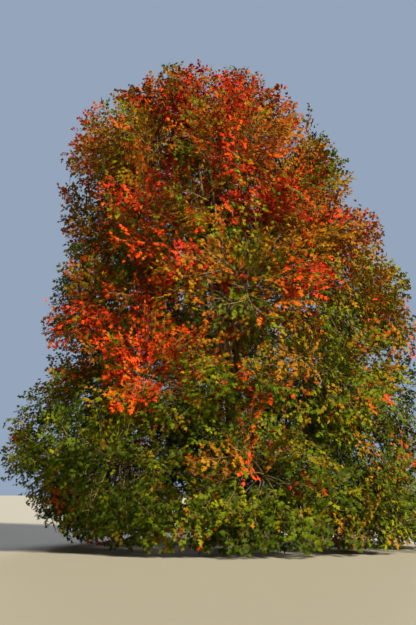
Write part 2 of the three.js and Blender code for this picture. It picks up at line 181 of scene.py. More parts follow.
# The finer growth: on each spray a line of nodes bears pairs of shoots, and each shoot bears pairs
# of leaves and one at its tip.
FILL_SPRAYS = 4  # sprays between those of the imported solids, on each twig
FINE_TWIGS = {"skirt": 7, "low": 7, "middle": 6, "upper": 5, "shoulder": 4, "top": 3}
HEM_TWIGS = 4  # twigs of each skirt mass that hang down to the hem of the crown
HEM_HEIGHT = (0.3, 0.6)
HEM_INSET = 0.45
HEM_JITTER = 0.4
FINE_MARGIN = 0.2
FINE_DEPTH = 0.42
FINE_SPRAYS = 6
FINE_TRIES = 10
FINE_ROUND = 6  # the finer growth fills the corners of its mass's space
FINE_REACH = 1.14
LINE_BOW = {"up": 0.12, "droop": 0.1, "side": 0.07}
LINE_POINTS = 5
NODES = 6
NODE_PLACES = (0.16, 0.96)
SHOOT = 0.44  # the longest shoot, as a share of its spray
SHOOT_TURN = {"pair": 1.05, "spread": 0.35}
SHOOT_LEAN = (0.75, 1.05)
SHOOT_LIFT = (-0.1, 0.2)
SHOOT_SIZES = (0.8, 1.15)
SHOOT_SWELL = {"from": 0.2, "span": 0.72, "power": 0.8}  # shoots are longest at mid-spray
TIP_SHOOT = {"size": 0.2, "back": 0.1, "up": 0.1}
LEAF_PAIRS = 4
LEAF_GAP = 0.13
PAIR_PLACES = {"first": 0.9, "spare": 0.35}
PAIR_SPREAD = 0.25
TIP_LEAF = {"down": 0.25, "spread": 0.15}
LEAF_SIZE = (0.098, 0.138)
LEAF_POINT = {"along": 0.55, "aside": 0.85, "down": 0.3, "spread": 0.22}
LEAF_FACING = {"outward": 0.35, "up": 0.4, "spread": 0.42}
LEAF_CLEAR = 0.06  # leaves keep this far from the limbs
SHED_SHARE = 0.08
BARE_SHED_SHARE = 0.75
LEAF_REACH = 0.1  # leaves stand out this far past the crown's drawn surface
CAP = {"x": -0.6, "y": 0.3, "fall": 0.135, "power": 1.92}  # the crown's top falls away from here
SHOULDER = {"x": -3.6, "y": -0.5, "rise": 0.55, "size": 0.6}  # one clump stands up at the top's left
# Swells at the left: the height, spread and depth of each
SWELLS = ((12.1, 1.0, 0.35), (6.8, 1.7, 0.28), (3.8, 0.8, 0.32))
# Gaps in the front of the crown, where the stems show: the middle of each, its size, and how far
# back it reaches
GAPS = (
    ((-0.76, -3.6, 9.55), 0.4, -2.6),
    ((-0.3, -4.6, 6.2), 0.36, -1.2),
    ((-1.45, -4.6, 4.0), 0.3, -2.6),
)
GAP_LEAVES = 0.2
GAP_HOLLOW = 0.9  # the room behind the end of a gap
GAP_SHAPE = np.array((1, 1, 1.5))  # gaps are taller than they are wide
EYE = (-0.522, -26, 1.6)
SUN_FROM = (0.76, -0.80, 0.66)
# Slender upright stems: the leader that each grows from, the height of its foot, and its way up
UPRIGHTS = (
    ("trunk", 3.9, ((-0.5, -1.9, 5.6), (-0.85, -2.8, 8.0), (-1.0, -3.0, 10.0), (-1.1, -2.9, 11.2))),
    ("trunk", 4.3, ((-0.3, -2.0, 6.1), (-0.55, -2.9, 8.6), (-0.78, -3.0, 10.6), (-0.8, -2.9, 11.4))),
    ("trunk", 4.7, ((-0.05, -1.9, 6.4), (-0.3, -2.9, 9.0), (-0.55, -3.0, 11.0))),
    ("trunk", 5.1, ((0.2, -1.9, 6.8), (0.15, -2.9, 9.2), (-0.1, -3.0, 10.8))),
    ("trunk", 5.0, ((0.5, -1.8, 6.7), (0.75, -2.8, 9.1), (0.8, -3.0, 10.7))),
    ("stem_left", 5.2, ((-0.95, -1.9, 7.0), (-1.3, -2.8, 9.0), (-1.5, -2.9, 10.5))),
    ("stem_left", 4.5, ((-0.8, -1.9, 5.8), (-1.25, -2.9, 7.6), (-1.8, -3.2, 9.0))),
)
# The outline swells and draws in by clumps, by less at its sides than at its top
CLUMPING = {"depth": 0.2, "size": 1.1, "drawn_in": 0.1, "at_top": 1.6, "lift": 0.3}
MOST_PROUD = 0.12
TOP_PROUD = 0.14
FINE_PROUD = -0.08
# Inner sprays on each kind of limb: how many, and between which shares of its length
INNER_SPRAYS = {
    "bough": (9, 0.25, 0.95),
    "stem": (14, 0.4, 0.92),
    "trunk": (14, 0.4, 0.92),
    "heart": (5, 0.3, 1),
}
INNER_LEAF = 1.3  # inner leaves are this much larger, and stand for more of them
INNER_LENGTH = (0.9, 1.35)
INNER_LOWEST = 0.35
INNER_DEPTH = 0.5
INNER_WAY = {"along": 0.5, "up": 0.15}
INNER_FACING = {"x": 0.5, "y": 0.8}  # inner sprays face up, and by more to the front than to the back
BARE_SHARE = 0.1  # sprays that have shed most of their leaves, above the foot of the crown
BARE_ABOVE = 4.2
LEAVES_PER_PIECE = 48000
NEIGHBOUR_TINTS = (0.22, 0.56, 0.22)  # shoots that bear the tint before, their spray's own, or the next
SECOND_SHARE = 0.22  # shoots that bear the second tint of their spray
TINT_CLUMPS = {"large": 1.5, "small": 0.6, "share": 0.5}
TINT_PLACE = Vector((27, -9, 38))
TINT_SMALL_PLACE = Vector((9, 4, 2))
TINT_SEED = 5
TINT_SCATTER = 0.15
TINT_ENDS = (0.001, 0.999)
PATCH_EDGE = 1.6

# Radii of the drawn wood, at its foot and at its tip, and its sides and steps
UPRIGHT_RADII = (0.05, 0.02)
UPRIGHT_SHAPE = (8, 18)
HEART_RADII = {"direct": (0.036, 0.016), "borne": (0.034, 0.016)}
HEART_SHAPE = (6, 9)
HEART_TAPER = 0.8
TWIG_RADII = (0.0155, 0.0065)
TWIG_SHAPE = (5, 6)
LINE_RADII = (0.0085, 0.003)
LINE_SHAPE = (3, 3)
SHOOT_RADIUS = 0.0042

# Leaf tints as the eye sees them in full light, in plain sRGB, and the slot of each
TINTS = {
    "deep_green": ((0.24, 0.31, 0.03), "leaves_green"),
    "green": ((0.36, 0.43, 0.04), "leaves_green"),
    "yellow_green": ((0.50, 0.51, 0.05), "leaves_green"),
    "olive": ((0.50, 0.43, 0.05), "leaves_olive"),
    "gold": ((0.64, 0.46, 0.06), "leaves_olive"),
    "bronze": ((0.60, 0.40, 0.06), "leaves_olive"),
    "brown": ((0.48, 0.31, 0.06), "leaves_orange"),
    "rust": ((0.64, 0.29, 0.05), "leaves_orange"),
    "orange": ((0.76, 0.38, 0.06), "leaves_orange"),
    "flame": ((0.88, 0.29, 0.07), "leaves_red"),
    "red": ((0.74, 0.18, 0.07), "leaves_red"),
    "crimson": ((0.52, 0.11, 0.05), "leaves_red"),
}

# How much of each tint the crown has at some heights, in the order of TINTS
TINT_SHARES = (
    (0.5, (44, 36, 10, 5, 1, 1, 1, 1, 1, 0, 0, 0)),
    (2.5, (45, 34, 8, 6, 2, 2, 1, 1, 1, 0, 0, 0)),
    (4.0, (29, 29, 13, 14, 5, 5, 2, 2, 1, 0, 0, 0)),
    (5.2, (14, 20, 14, 22, 7, 11, 4, 5, 3, 0, 0, 0)),
    (7.0, (8, 12, 8, 22, 8, 17, 8, 10, 7, 0, 0, 0)),
    (9.0, (6, 9, 6, 19, 6, 17, 13, 15, 8, 1, 0, 0)),
    (11.0, (3, 6, 5, 16, 5, 15, 17, 23, 8, 1, 1, 0)),
    (13.0, (1, 4, 4, 12, 3, 11, 19, 31, 9, 2, 4, 0)),
    (15.0, (0, 2, 1, 8, 2, 8, 20, 34, 11, 4, 8, 2)),
)


def mix(a, b, share):
    return a + (b - a) * share


def unit(vector):
    return vector / np.linalg.norm(vector, axis=-1, keepdims=True)


UP = np.array((0.0, 0.0, 1.0))
OFF_UPRIGHT = 1e-3  # leans the upright a little, so that no limb runs right along it


def seeded(*parts):
    """A stream of numbers from 0 to 1 that is the same on every run."""
    factors = (73856093, 19349663, 83492791)
    word = 0xFFFFFFFF
    state = sum((part + 1) * factor for part, factor in zip(parts, factors)) & word

    def draw():
        nonlocal state
        state = (state + 0x6D2B79F5) & word
        t = state
        t = ((t ^ (t >> 15)) * (t | 1)) & word
        t ^= (t + (t ^ (t >> 7)) * (t | 61)) & word
        return (t ^ (t >> 14)) / 4294967296

    return draw


def crown_reach(height, bearing):
    """How far the crown reaches from the trunk's line at a height and a bearing."""
    right = (1 + np.cos(bearing)) / 2
    rise = np.clip((height - WAIST) / (DOME - WAIST), 0, 1) ** mix(LEFT["rise"], RIGHT["rise"], right)
    dome = (1 - rise) ** (1 / mix(LEFT["round"], RIGHT["round"], right))
    bulge = SKIRT["bulge"] * (1 - right) ** 2 * np.exp(-(((height - SKIRT["height"]) / SKIRT["spread"]) ** 2))
    tuck = TUCK["depth"] * (1 - right) * np.exp(-height / TUCK["height"])
    return mix(LEFT["reach"], RIGHT["reach"], right) * dome + bulge - tuck


# Curves

class Curve:
    """A curve from share 0 to share 1. Each kind says where its points are."""

    def heading(self, share):
        step = 0.0001
        return unit(self.point(min(share + step, 1)) - self.point(max(share - step, 0)))

    def length(self):
        steps = 200
        points = np.array([self.point(i / steps) for i in range(steps + 1)])
        return np.linalg.norm(points[1:] - points[:-1], axis=1).sum()

    def share_at_height(self, height):
        """The share of a rising curve at a height."""
        low, high = 0.0, 1.0
        halvings = 30
        for _ in range(halvings):
            middle = (low + high) / 2
            if self.point(middle)[2] < height:
                low = middle
            else:
                high = middle
        return low

    def on_axis(self, steps, along):
        """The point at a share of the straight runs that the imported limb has, and their heading."""
        step = min(math.floor(along * steps), steps - 1)
        start, end = self.point(step / steps), self.point((step + 1) / steps)
        return mix(start, end, along * steps - step), unit(end - start)


class Spline(Curve):
    """A smooth curve through points, whose pace follows the root of the distance between them."""

    def __init__(self, points, bend=1.0):
        self.points = [np.array(point, float) for point in points]
        self.bend = bend

    def point(self, share):
        points = self.points
        last = len(points) - 1
        place = last * share**self.bend
        first = min(int(place), last - 1)
        share = place - first
        b, c = points[first], points[first + 1]
        a = points[first - 1] if first > 0 else 2 * b - c
        d = points[first + 2] if first + 2 <= last else 2 * c - b
        pace_a, pace, pace_c = (np.linalg.norm(q - p) ** 0.5 for p, q in ((a, b), (b, c), (c, d)))
        leave = (b - a) / pace_a - (c - a) / (pace_a + pace) + (c - b) / pace
        arrive = (c - b) / pace - (d - b) / (pace + pace_c) + (d - c) / pace_c
        leave, arrive = leave * pace, arrive * pace
        square, cube = share * share, share**3
        return (
            b
            + leave * share
            + (3 * (c - b) - 2 * leave - arrive) * square
            + (2 * (b - c) + leave + arrive) * cube
        )

    def heading(self, share):
        return UP if self.bend > 1 and share < 1e-6 else super().heading(share)


class Arch(Curve):
    """A curve from a foot to a tip that leans towards a third point."""

    def __init__(self, foot, control, tip):
        self.foot, self.control, self.tip = foot, control, tip

    def point(self, share):
        rest = 1 - share
        return self.foot * rest * rest + self.control * 2 * rest * share + self.tip * share * share


# The plan of the tree

def lay_out_masses():
    """The space of each mass, ring by ring, and those at the top of the crown."""
    masses = []
    for ring in RINGS:
        for i in range(ring["count"]):
            draw = seeded(len(masses), SEEDS["rings"])
            turn = ring["turn"] + ((i + (draw() - 0.5) * RING_JITTER["turn"]) * 360) / ring["count"]
            bearing = math.radians(turn)
            height = ring["height"] - ring["sway"] * math.cos(bearing)
            height += (draw() - 0.5) * RING_JITTER["height"]
            reach = crown_reach(height, bearing) - RING_DEPTH + RING_PROUD
            centre = np.array((math.cos(bearing) * reach, math.sin(bearing) * reach, height))
            width = (RING_WIDTH * 2 * math.pi * (reach + RING_SPAN)) / ring["count"]
            outward = np.array((math.cos(bearing), math.sin(bearing), 0))
            masses.append(
                SimpleNamespace(
                    ring=ring["name"], plan=ring, number=i + 1, name=f"{ring['name']}_{i + 1}",
                    bearing=bearing, centre=centre, half=np.array((RING_DEPTH, width, ring["half"])),
                    outward=outward, droop=ring["droop"], leader=None, direct=False,
                )
            )
    for stem in STEMS:
        masses.append(
            SimpleNamespace(
                ring="top", plan=None, number=0, name="top_" + stem["name"].replace("stem_", ""),
                bearing=0.0, centre=np.array(stem["top"]["centre"], float),
                half=np.array(stem["top"]["half"], float), outward=UP, droop=0,
                leader=stem["name"], direct=False,
            )
        )
    for index, mass in enumerate(masses):
        mass.index = index
    return masses


masses = lay_out_masses()
centres = np.array([mass.centre for mass in masses])
CELL_SCALE = np.array((1, 1, CELL_UPRIGHT))


def turned(points, angle):
    """Points turned about the upright axis."""
    cos, sin = math.cos(angle), math.sin(angle)
    x, y = points[..., 0], points[..., 1]
    return np.stack((x * cos - y * sin, x * sin + y * cos, points[..., 2]), -1)


def leaf_reach(height, bearing):
    """How far the leaves reach: the crown's surface, with the swells at its left."""
    left = (1 - np.cos(bearing)) / 2
    swell = sum(depth * np.exp(-(((height - middle) / spread) ** 2)) for middle, spread, depth in SWELLS)
    return crown_reach(height, bearing) + swell * left**2


def in_space(mass, points, margin, depth=None, roundness=SPACE_ROUND):
    """Which points are in a mass's own space: inside its rounded outline and the crown's surface,
    above the ground, and on its side of the plane halfway to each other mass. The finer growth
    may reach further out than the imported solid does."""
    depth = margin if depth is None else depth
    points = np.atleast_2d(points)
    kept = (points[:, 2] >= LEAF_FOOT + margin) & (points[:, 2] <= HEIGHT - depth)
    local = turned(points - mass.centre, -mass.bearing)
    outer = np.where((local[:, 0] > 0) & (mass.plan is not None), SPACE_OUTER, 1)
    shares = np.abs(local / mass.half)
    shares[:, 0] /= outer
    if roundness == FINE_ROUND:
        shares /= FINE_REACH
    kept &= (shares**roundness).sum(1) <= 1
    reach_at = crown_reach if roundness == SPACE_ROUND else leaf_reach
    reach = reach_at(points[:, 2] + depth, np.arctan2(points[:, 1], points[:, 0])) - depth
    kept &= np.hypot(points[:, 0], points[:, 1]) <= reach
    scaled = centres * CELL_SCALE
    away = (((points * CELL_SCALE)[:, None] - scaled[None]) ** 2).sum(2)
    gaps = np.linalg.norm(scaled - scaled[mass.index], axis=1)
    gaps[mass.index] = 1
    sides = (away - away[:, mass.index : mass.index + 1]) / (2 * gaps)
    sides[:, mass.index] = np.inf
    return kept & (sides > margin * CELL_UPRIGHT).all(1)


def tube(curve, radius_at, sides, steps):
    """Corners and faces of a closed tube along a curve."""
    rings = []
    for step in range(steps + 1):
        along = step / steps
        forward = curve.heading(along)
        reference = UP if abs(forward[2]) < 0.9 else np.array((1.0, 0, 0))
        across = unit(np.cross(forward, reference))
        third = np.cross(forward, across)
        angles = np.arange(sides) * 2 * math.pi / sides
        ring = np.cos(angles)[:, None] * across + np.sin(angles)[:, None] * third
        rings.append(curve.point(along) + ring * radius_at(along))
    faces = []
    for step in range(steps):
        for i in range(sides):
            j = (i + 1) % sides
            a, b = step * sides, (step + 1) * sides
            faces += [(a + i, a + j, b + j), (a + i, b + j, b + i)]
    top = steps * sides
    for i in range(1, sides - 1):
        faces += [(0, i + 1, i), (top, top + i, top + i + 1)]
    return np.concatenate(rings), np.array(faces)


def tree_of(corners, faces):
    """A search tree that tells whether shapes touch."""
    return BVHTree.FromPolygons([tuple(c) for c in corners], [tuple(int(i) for i in f) for f in faces])


def touches(tree, other):
    return bool(tree.overlap(other))


def make_branch(name, curve, foot, tip):
    """A limb that leaves its parent with a collar and tapers evenly to its tip."""
    length = curve.length()

    def radius_at(along):
        return mix(foot, tip, along) + COLLAR["size"] * foot * math.exp((-along * length) / COLLAR["length"])

    return SimpleNamespace(name=name, curve=curve, radius_at=radius_at)


def trunk_radius(height):
    share = min(max(1 - height / STEMS[0]["path"][-1][2], 0), 1) ** TRUNK_TAPER
    return mix(TRUNK_TIP_RADIUS, TRUNK_RADIUS, share) + FLARE["size"] * math.exp(-height / FLARE["height"])


trunk_curve = Spline(STEMS[0]["path"], TRUNK_BEND)
leaders = [
    SimpleNamespace(
        name="trunk", curve=trunk_curve,
        radius_at=lambda along: trunk_radius(max(trunk_curve.point(along)[2], 0)),
    )
]
for stem in STEMS[1:]:
    foot = trunk_curve.point(trunk_curve.share_at_height(stem["from"]))
    leaders.append(make_branch(stem["name"], Spline((foot, *stem["path"])), stem["radius"], STEM_TIP_RADIUS))
limbs = list(leaders)


def parent_for(height, bearing):
    """The stem that stands nearest to a bearing at a height, well above its own foot."""
    outward = np.array((math.cos(bearing), math.sin(bearing), 0))
    tall = [leader for leader in leaders if leader.curve.point(0)[2] < height - PARENT_BELOW]
    return max(tall, key=lambda leader: leader.curve.point(leader.curve.share_at_height(height)) @ outward)


def stem_curve(mass, start, direction):
    """The curve of a mass's own stem, from its bough's tip or its leader to the heart of its space."""
    heart = mass.centre + mass.outward * (HEART_OUT if mass.plan else 0)
    control = start + direction * np.linalg.norm(heart - start) * STEM_BOW
    return Arch(start, control, heart)


for mass in masses:
    if mass.leader:
        leader = next(limb for limb in leaders if limb.name == mass.leader)
        heading = leader.curve.heading(1)
        mass.stem = stem_curve(mass, leader.curve.point(1) + heading * JOINT, heading)
        continue
    height = mass.plan["from"] + (mass.number % 2) * STAGGER
    parent = parent_for(height, mass.bearing)
    foot = parent.curve.point(parent.curve.share_at_height(height))
    plan = BOUGHS.get(mass.ring)
    if plan is None:
        mass.stem = stem_curve(mass, foot, unit(unit(mass.centre - foot) + UP * DIRECT_RISE))
        mass.direct = True
        continue
    tip = mass.centre - mass.outward * RING_DEPTH * BOUGH_WAY["inset"]
    control = mix(foot, tip, BOUGH_WAY["middle"])
    control[2] = max(foot[2], tip[2] - BOUGH_WAY["drop"]) + plan["lift"]
    curve = Arch(foot, control, tip)
    limbs.append(make_branch(f"bough_{mass.name}", curve, plan["radius"], BOUGH_TIP_RADIUS))
    mass.stem = stem_curve(mass, tip + curve.heading(1) * JOINT, curve.heading(1))


def limb_tree():
    """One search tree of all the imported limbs."""
    corners, faces = [], []
    for limb in limbs:
        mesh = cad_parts[limb.name].data
        base = len(corners)
        corners += [tuple(vertex.co) for vertex in mesh.vertices]
        faces += [tuple(base + i for i in face.vertices) for face in mesh.polygons]
    return BVHTree.FromPolygons(corners, faces)


wood_tree = limb_tree()
for mass in masses:
    if mass.direct:
        guard = tube(mass.stem, lambda along: mix(*DIRECT_STEM_RADII, along), 3, MASS_STEM_STEPS + 1)
        mass.guard = tree_of(*guard)


def in_crown(points, slack):
    """Which points are inside the crown's surface, or no further out than the slack."""
    swell = np.array([noise.noise(Vector(point) / CLUMPING["size"]) for point in points])
    slack = np.minimum(slack + CLUMPING["depth"] * (2 * swell - CLUMPING["drawn_in"]), MOST_PROUD)
    reach = leaf_reach(points[:, 2], np.arctan2(points[:, 1], points[:, 0])) + slack
    away = np.hypot(points[:, 0] - CAP["x"], points[:, 1] - CAP["y"])
    beside = np.hypot(points[:, 0] - SHOULDER["x"], points[:, 1] - SHOULDER["y"]) / SHOULDER["size"]
    top = HEIGHT - CAP["fall"] * away ** CAP["power"] + SHOULDER["rise"] * np.exp(-(beside**2))
    top += np.clip(CLUMPING["at_top"] * CLUMPING["depth"] * (2 * swell + CLUMPING["lift"]), -1, TOP_PROUD)
    inside = np.hypot(points[:, 0], points[:, 1]) < reach
    return inside & (points[:, 2] < top) & (points[:, 2] > LEAF_FOOT / 2)


def by_line(points, start, heading, size):
    """Which points are nearer than a size to a line from a start."""
    offset = points - start
    along = offset @ heading
    aside = (offset - np.outer(along, heading)) / GAP_SHAPE
    return (np.linalg.norm(aside, axis=1) < size) & (along > 0)


def in_gap(points):
    """Which points are in one of the gaps, or where the sun falls into it."""
    eye = np.array(EYE)
    found = np.zeros(len(points), bool)
    for middle, size, back in GAPS:
        sight = unit(np.array(middle) - eye)
        end = eye + sight * (back - eye[1]) / sight[1]
        found |= by_line(points, eye, sight, size) & (points[:, 1] < back + GAP_HOLLOW)
        found |= by_line(points, end, unit(np.array(SUN_FROM)), size)
    return found


# Growth: twigs, sprays, shoots and leaves

def next_end(mass, ends, first, draw, fine=False):
    """Where a mass's next twig ends. Of many points drawn in its space, the first twig takes the
    one furthest out, and each later one the point furthest from the ends that there are."""
    local = np.empty((ENDS_TRIED, 3))
    inner = END_INNER["fine" if fine else "packed"]
    for row in local:
        row[0] = mix(inner, END_OUTER, draw())
        row[1] = mix(-END_SIDE, END_SIDE, draw())
        row[2] = mix(-END_SIDE, END_SIDE, draw())
    points = turned(local * mass.half, mass.bearing) + mass.centre
    if fine:
        kept = in_space(mass, points, FINE_MARGIN, FINE_DEPTH, FINE_ROUND)
    else:
        kept = in_space(mass, points, TWIG_MARGIN, TWIG_DEPTH)
    points = points[kept]
    if not len(points):
        return None
    if first:
        return points[np.argmax(points @ mass.outward)]
    gaps = np.linalg.norm(points[:, None] - np.array(ends)[None], axis=2).min(1)
    return points[np.argmax(gaps)]


def blade(root, direction, normal, side, length):
    """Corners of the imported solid's spray: its root, tip, ridge, right and left."""
    fold, half, widest = SPRAY["fold"], SPRAY["half_width"], SPRAY["widest"]
    places = (
        (0, 0, 0), (1, 0, -fold / 2), (SPRAY["ridge"], 0, SPRAY["thick"]),
        (widest, half, -fold), (widest, -half, -fold),
    )
    corners = []
    for along, across, up in places:
        foot = root + direction * (along * length - SPRAY["sunk"])
        corners.append(foot + side * across * length + normal * up * length)
    return np.array(corners)


BLADE_FACES = ((0, 3, 2), (3, 1, 2), (1, 4, 2), (4, 0, 2), (0, 4, 3), (3, 4, 1))

# Numbers that set the finer and the inner sprays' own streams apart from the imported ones
FILL_STREAM = 40
FILL_KEY = 10
INNER_KEY = 50

spray_middles = []


def spray_on_twig(mass, twig, number, i, obstacles, between=False):
    """One spray on a twig, or None. It turns round the twig by the golden angle, leans outwards,
    and is tried at a few more turns before it is left out. Those between take, of all their
    turns, the one that lies furthest from the sprays that there are."""
    draw = seeded(mass.index, number + (FILL_STREAM if between else 0), i)
    kind = "between" if between else "packed"
    last = i == SPRAYS_PER_TWIG - 1 and not between
    leading = last and number == 0
    first, end = SPRAY_PLACES
    along = end if last else min(mix(first, end, (i + SPRAY_STEP[kind]) / SPRAYS_PER_TWIG), end)
    root, forward = twig.curve.on_axis(1, along)
    longest = SPRAY["length"] * (LAST_SPRAY if last else mix(*SPRAY_SIZES, draw()))
    start = draw() * 2 * math.pi
    swing = SPRAY_SWING["leading" if leading else "last" if last else "side"]
    droop = 0 if leading else mix(*SPRAY_DROOP, draw()) - mass.droop
    bearing = math.atan2(mass.centre[1], mass.centre[0])
    out = np.array((math.cos(bearing), math.sin(bearing), SPRAY_FACING["rise"]))
    facing = turned(out, mix(-SPRAY_FACING["turn"], SPRAY_FACING["turn"], draw())) + UP * SPRAY_FACING["up"]
    aside = unit(np.cross(out, forward))
    behind = unit(np.cross(aside, forward))
    lead = mass.outward + forward * SPRAY_LEAD if leading else forward
    best, best_gap = None, 0
    for attempt in range(FINE_TRIES if between else SPRAY_TRIES):
        turn = start + (i + attempt) * GOLDEN_TURN
        direction = unit(lead + aside * math.cos(turn) * swing + behind * math.sin(turn) * swing + UP * droop)
        normal = unit(facing - direction * (facing @ direction))
        side = unit(np.cross(direction, normal))
        length = longest * (1 - SPRAY_SHRINK[kind] * attempt)
        corners = blade(root, direction, normal, side, length)
        if between:
            kept = in_space(mass, corners, SPACE_MARGIN, FINE_PROUD, FINE_ROUND)
        else:
            kept = in_space(mass, corners, SPACE_MARGIN)
        if not kept.all():
            continue
        tree = tree_of(corners, BLADE_FACES)
        if any(touches(obstacle, tree) for obstacle in obstacles):
            continue
        middle = root + direction * length * SPRAY["middle"]
        spray = SimpleNamespace(
            root=root, direction=direction, normal=normal, side=side, length=length, tree=tree,
            mass=mass, key=(mass.index, number, i + (FILL_KEY if between else 0)), middle=middle, scale=1.0,
        )
        if not between:
            return spray
        gap = np.linalg.norm(np.array(spray_middles) - middle, axis=1).min()
        if gap > best_gap:
            best, best_gap = spray, gap
    return best


def twig_to(mass, end, obstacles, roundness=SPACE_ROUND):
    """A twig from the mass's stem to an end, or None where it wouldn't stay clear."""
    steps = MASS_STEM_STEPS + mass.direct
    foot = mass.stem.point(0)
    chord = mass.stem.point(1) - foot
    passed = (end - foot) @ chord / (chord @ chord)
    for back in FORKS:
        fork = min(max(passed - back, FORK_RANGE["direct" if mass.direct else "borne"]), FORK_RANGE["last"])
        start, heading = mass.stem.on_axis(steps, fork)
        length = np.linalg.norm(end - start)
        curve = Arch(start, start + (heading * TWIG_BOW["along"] + UP * TWIG_BOW["up"]) * length, end)
        spots = np.array([curve.point(share) for share in TWIG_SPOTS])
        tree = tree_of(*tube(curve, lambda along: TWIG_RADIUS, 3, 1))
        if not in_space(mass, spots, SPACE_MARGIN + TWIG_RADIUS, roundness=roundness).all():
            continue
        if any(touches(obstacle, tree) for obstacle in obstacles):
            continue
        return SimpleNamespace(curve=curve, tree=tree)
    return None


def grow_mass(mass, ends):
    """The twigs and the sprays of a mass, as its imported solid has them."""
    steps = MASS_STEM_STEPS + mass.direct
    draw = seeded(mass.index, SEEDS["twigs"])
    guards = [other.guard for other in masses if other.direct and other is not mass]
    obstacles = [wood_tree, *guards]
    wanted = TWIGS_PER_MASS if mass.plan else TWIGS_AT_TOP
    twigs = []
    for i in range(2 * wanted):
        if len(twigs) >= wanted:
            break
        end = next_end(mass, ends, i == 0, draw)
        if end is None:
            continue
        ends.append(end)
        twig = twig_to(mass, end, obstacles)
        if twig:
            twigs.append(twig)
    stem_tree = tree_of(*tube(mass.stem, lambda along: MASS_STEM_RADIUS, 3, steps))
    sprays = []
    for number, twig in enumerate(twigs):
        near = obstacles + [stem_tree] + [other.tree for other in twigs if other is not twig]
        for i in range(SPRAYS_PER_TWIG):
            spray = spray_on_twig(mass, twig, number, i, near + [other.tree for other in sprays])
            if spray:
                sprays.append(spray)
                spray_middles.append(spray.middle)
    return twigs, sprays


def hem_ends(mass, draw):
    """Where the twigs end that hang down to the hem, side by side along the skirt."""
    step = 2 * math.pi / mass.plan["count"] / HEM_TWIGS
    ends = []
    for i in range(HEM_TWIGS):
        bearing = mass.bearing + (i + 0.5 - HEM_TWIGS / 2 + (draw() - 0.5) * HEM_JITTER) * step
        height = mix(*HEM_HEIGHT, draw())
        reach = leaf_reach(height, bearing) - HEM_INSET
        ends.append(np.array((math.cos(bearing) * reach, math.sin(bearing) * reach, height)))
    return ends


def fill_mass(mass, ends):
    """The finer growth of a mass where it is still open: sprays between those that there are, and
    finer twigs with sprays of their own."""
    draw = seeded(mass.index, SEEDS["finer"])
    wanted = FINE_TWIGS[mass.ring]
    added = []
    for _ in range(2 * wanted):
        if len(added) == wanted:
            break
        end = next_end(mass, ends, False, draw, fine=True)
        if end is None:
            continue
        ends.append(end)
        twig = twig_to(mass, end, [wood_tree], FINE_ROUND)
        if twig:
            added.append(twig)
    if mass.ring == "skirt":
        hem = [twig_to(mass, end, [wood_tree], FINE_ROUND) for end in hem_ends(mass, draw)]
        added += [twig for twig in hem if twig]
    counts = [FILL_SPRAYS] * len(mass.twigs) + [FINE_SPRAYS] * len(added)
    mass.twigs += added
    for number, twig in enumerate(mass.twigs):
        for i in range(counts[number]):
            spray = spray_on_twig(mass, twig, number, i, [wood_tree], between=True)
            if spray:
                mass.sprays.append(spray)
                spray_middles.append(spray.middle)


def grow_inner_sprays(mass, curve, kind):
    """Sprays along a limb or a mass's stem itself, in the shade inside the crown."""
    count, low, high = INNER_SPRAYS[kind]
    draw = seeded(mass.index, len(kind), SEEDS["inner"])
    for i in range(count):
        share = mix(low, high, (i + draw()) / count)
        root, forward = curve.point(share), curve.heading(share)
        aside = unit(np.cross(UP + OFF_UPRIGHT, forward))
        behind = np.cross(forward, aside)
        turn = i * GOLDEN_TURN
        round_limb = aside * math.cos(turn) + behind * math.sin(turn)
        direction = unit(forward * INNER_WAY["along"] + round_limb + UP * INNER_WAY["up"])
        facing = UP + np.array((draw() - INNER_FACING["x"], draw() - INNER_FACING["y"], 0))
        normal = unit(facing - direction * (facing @ direction))
        length = mix(*INNER_LENGTH, draw())
        tip = root + direction * length
        if not in_crown(tip[None], -INNER_DEPTH)[0] or min(root[2], tip[2]) < INNER_LOWEST:
            continue
        spray = SimpleNamespace(
            root=root, direction=direction, normal=normal, side=unit(np.cross(direction, normal)),
            length=length, mass=mass, key=(mass.index, INNER_KEY + i, len(kind)),
            middle=mix(root, tip, SPRAY["middle"]), scale=INNER_LEAF,
        )
        mass.sprays.append(spray)


twig_ends = []
for mass in masses:
    mass.twigs, mass.sprays = grow_mass(mass, twig_ends)
for mass in masses:
    fill_mass(mass, twig_ends)
for limb in limbs:
    own = [mass for mass in masses if limb.name in (mass.leader, "bough_" + mass.name)]
    grow_inner_sprays(own[0], limb.curve, limb.name.split("_")[0])
for mass in masses:
    grow_inner_sprays(mass, mass.stem, "heart")
sprays = [spray for mass in masses for spray in mass.sprays]
print("sprays", len(sprays))
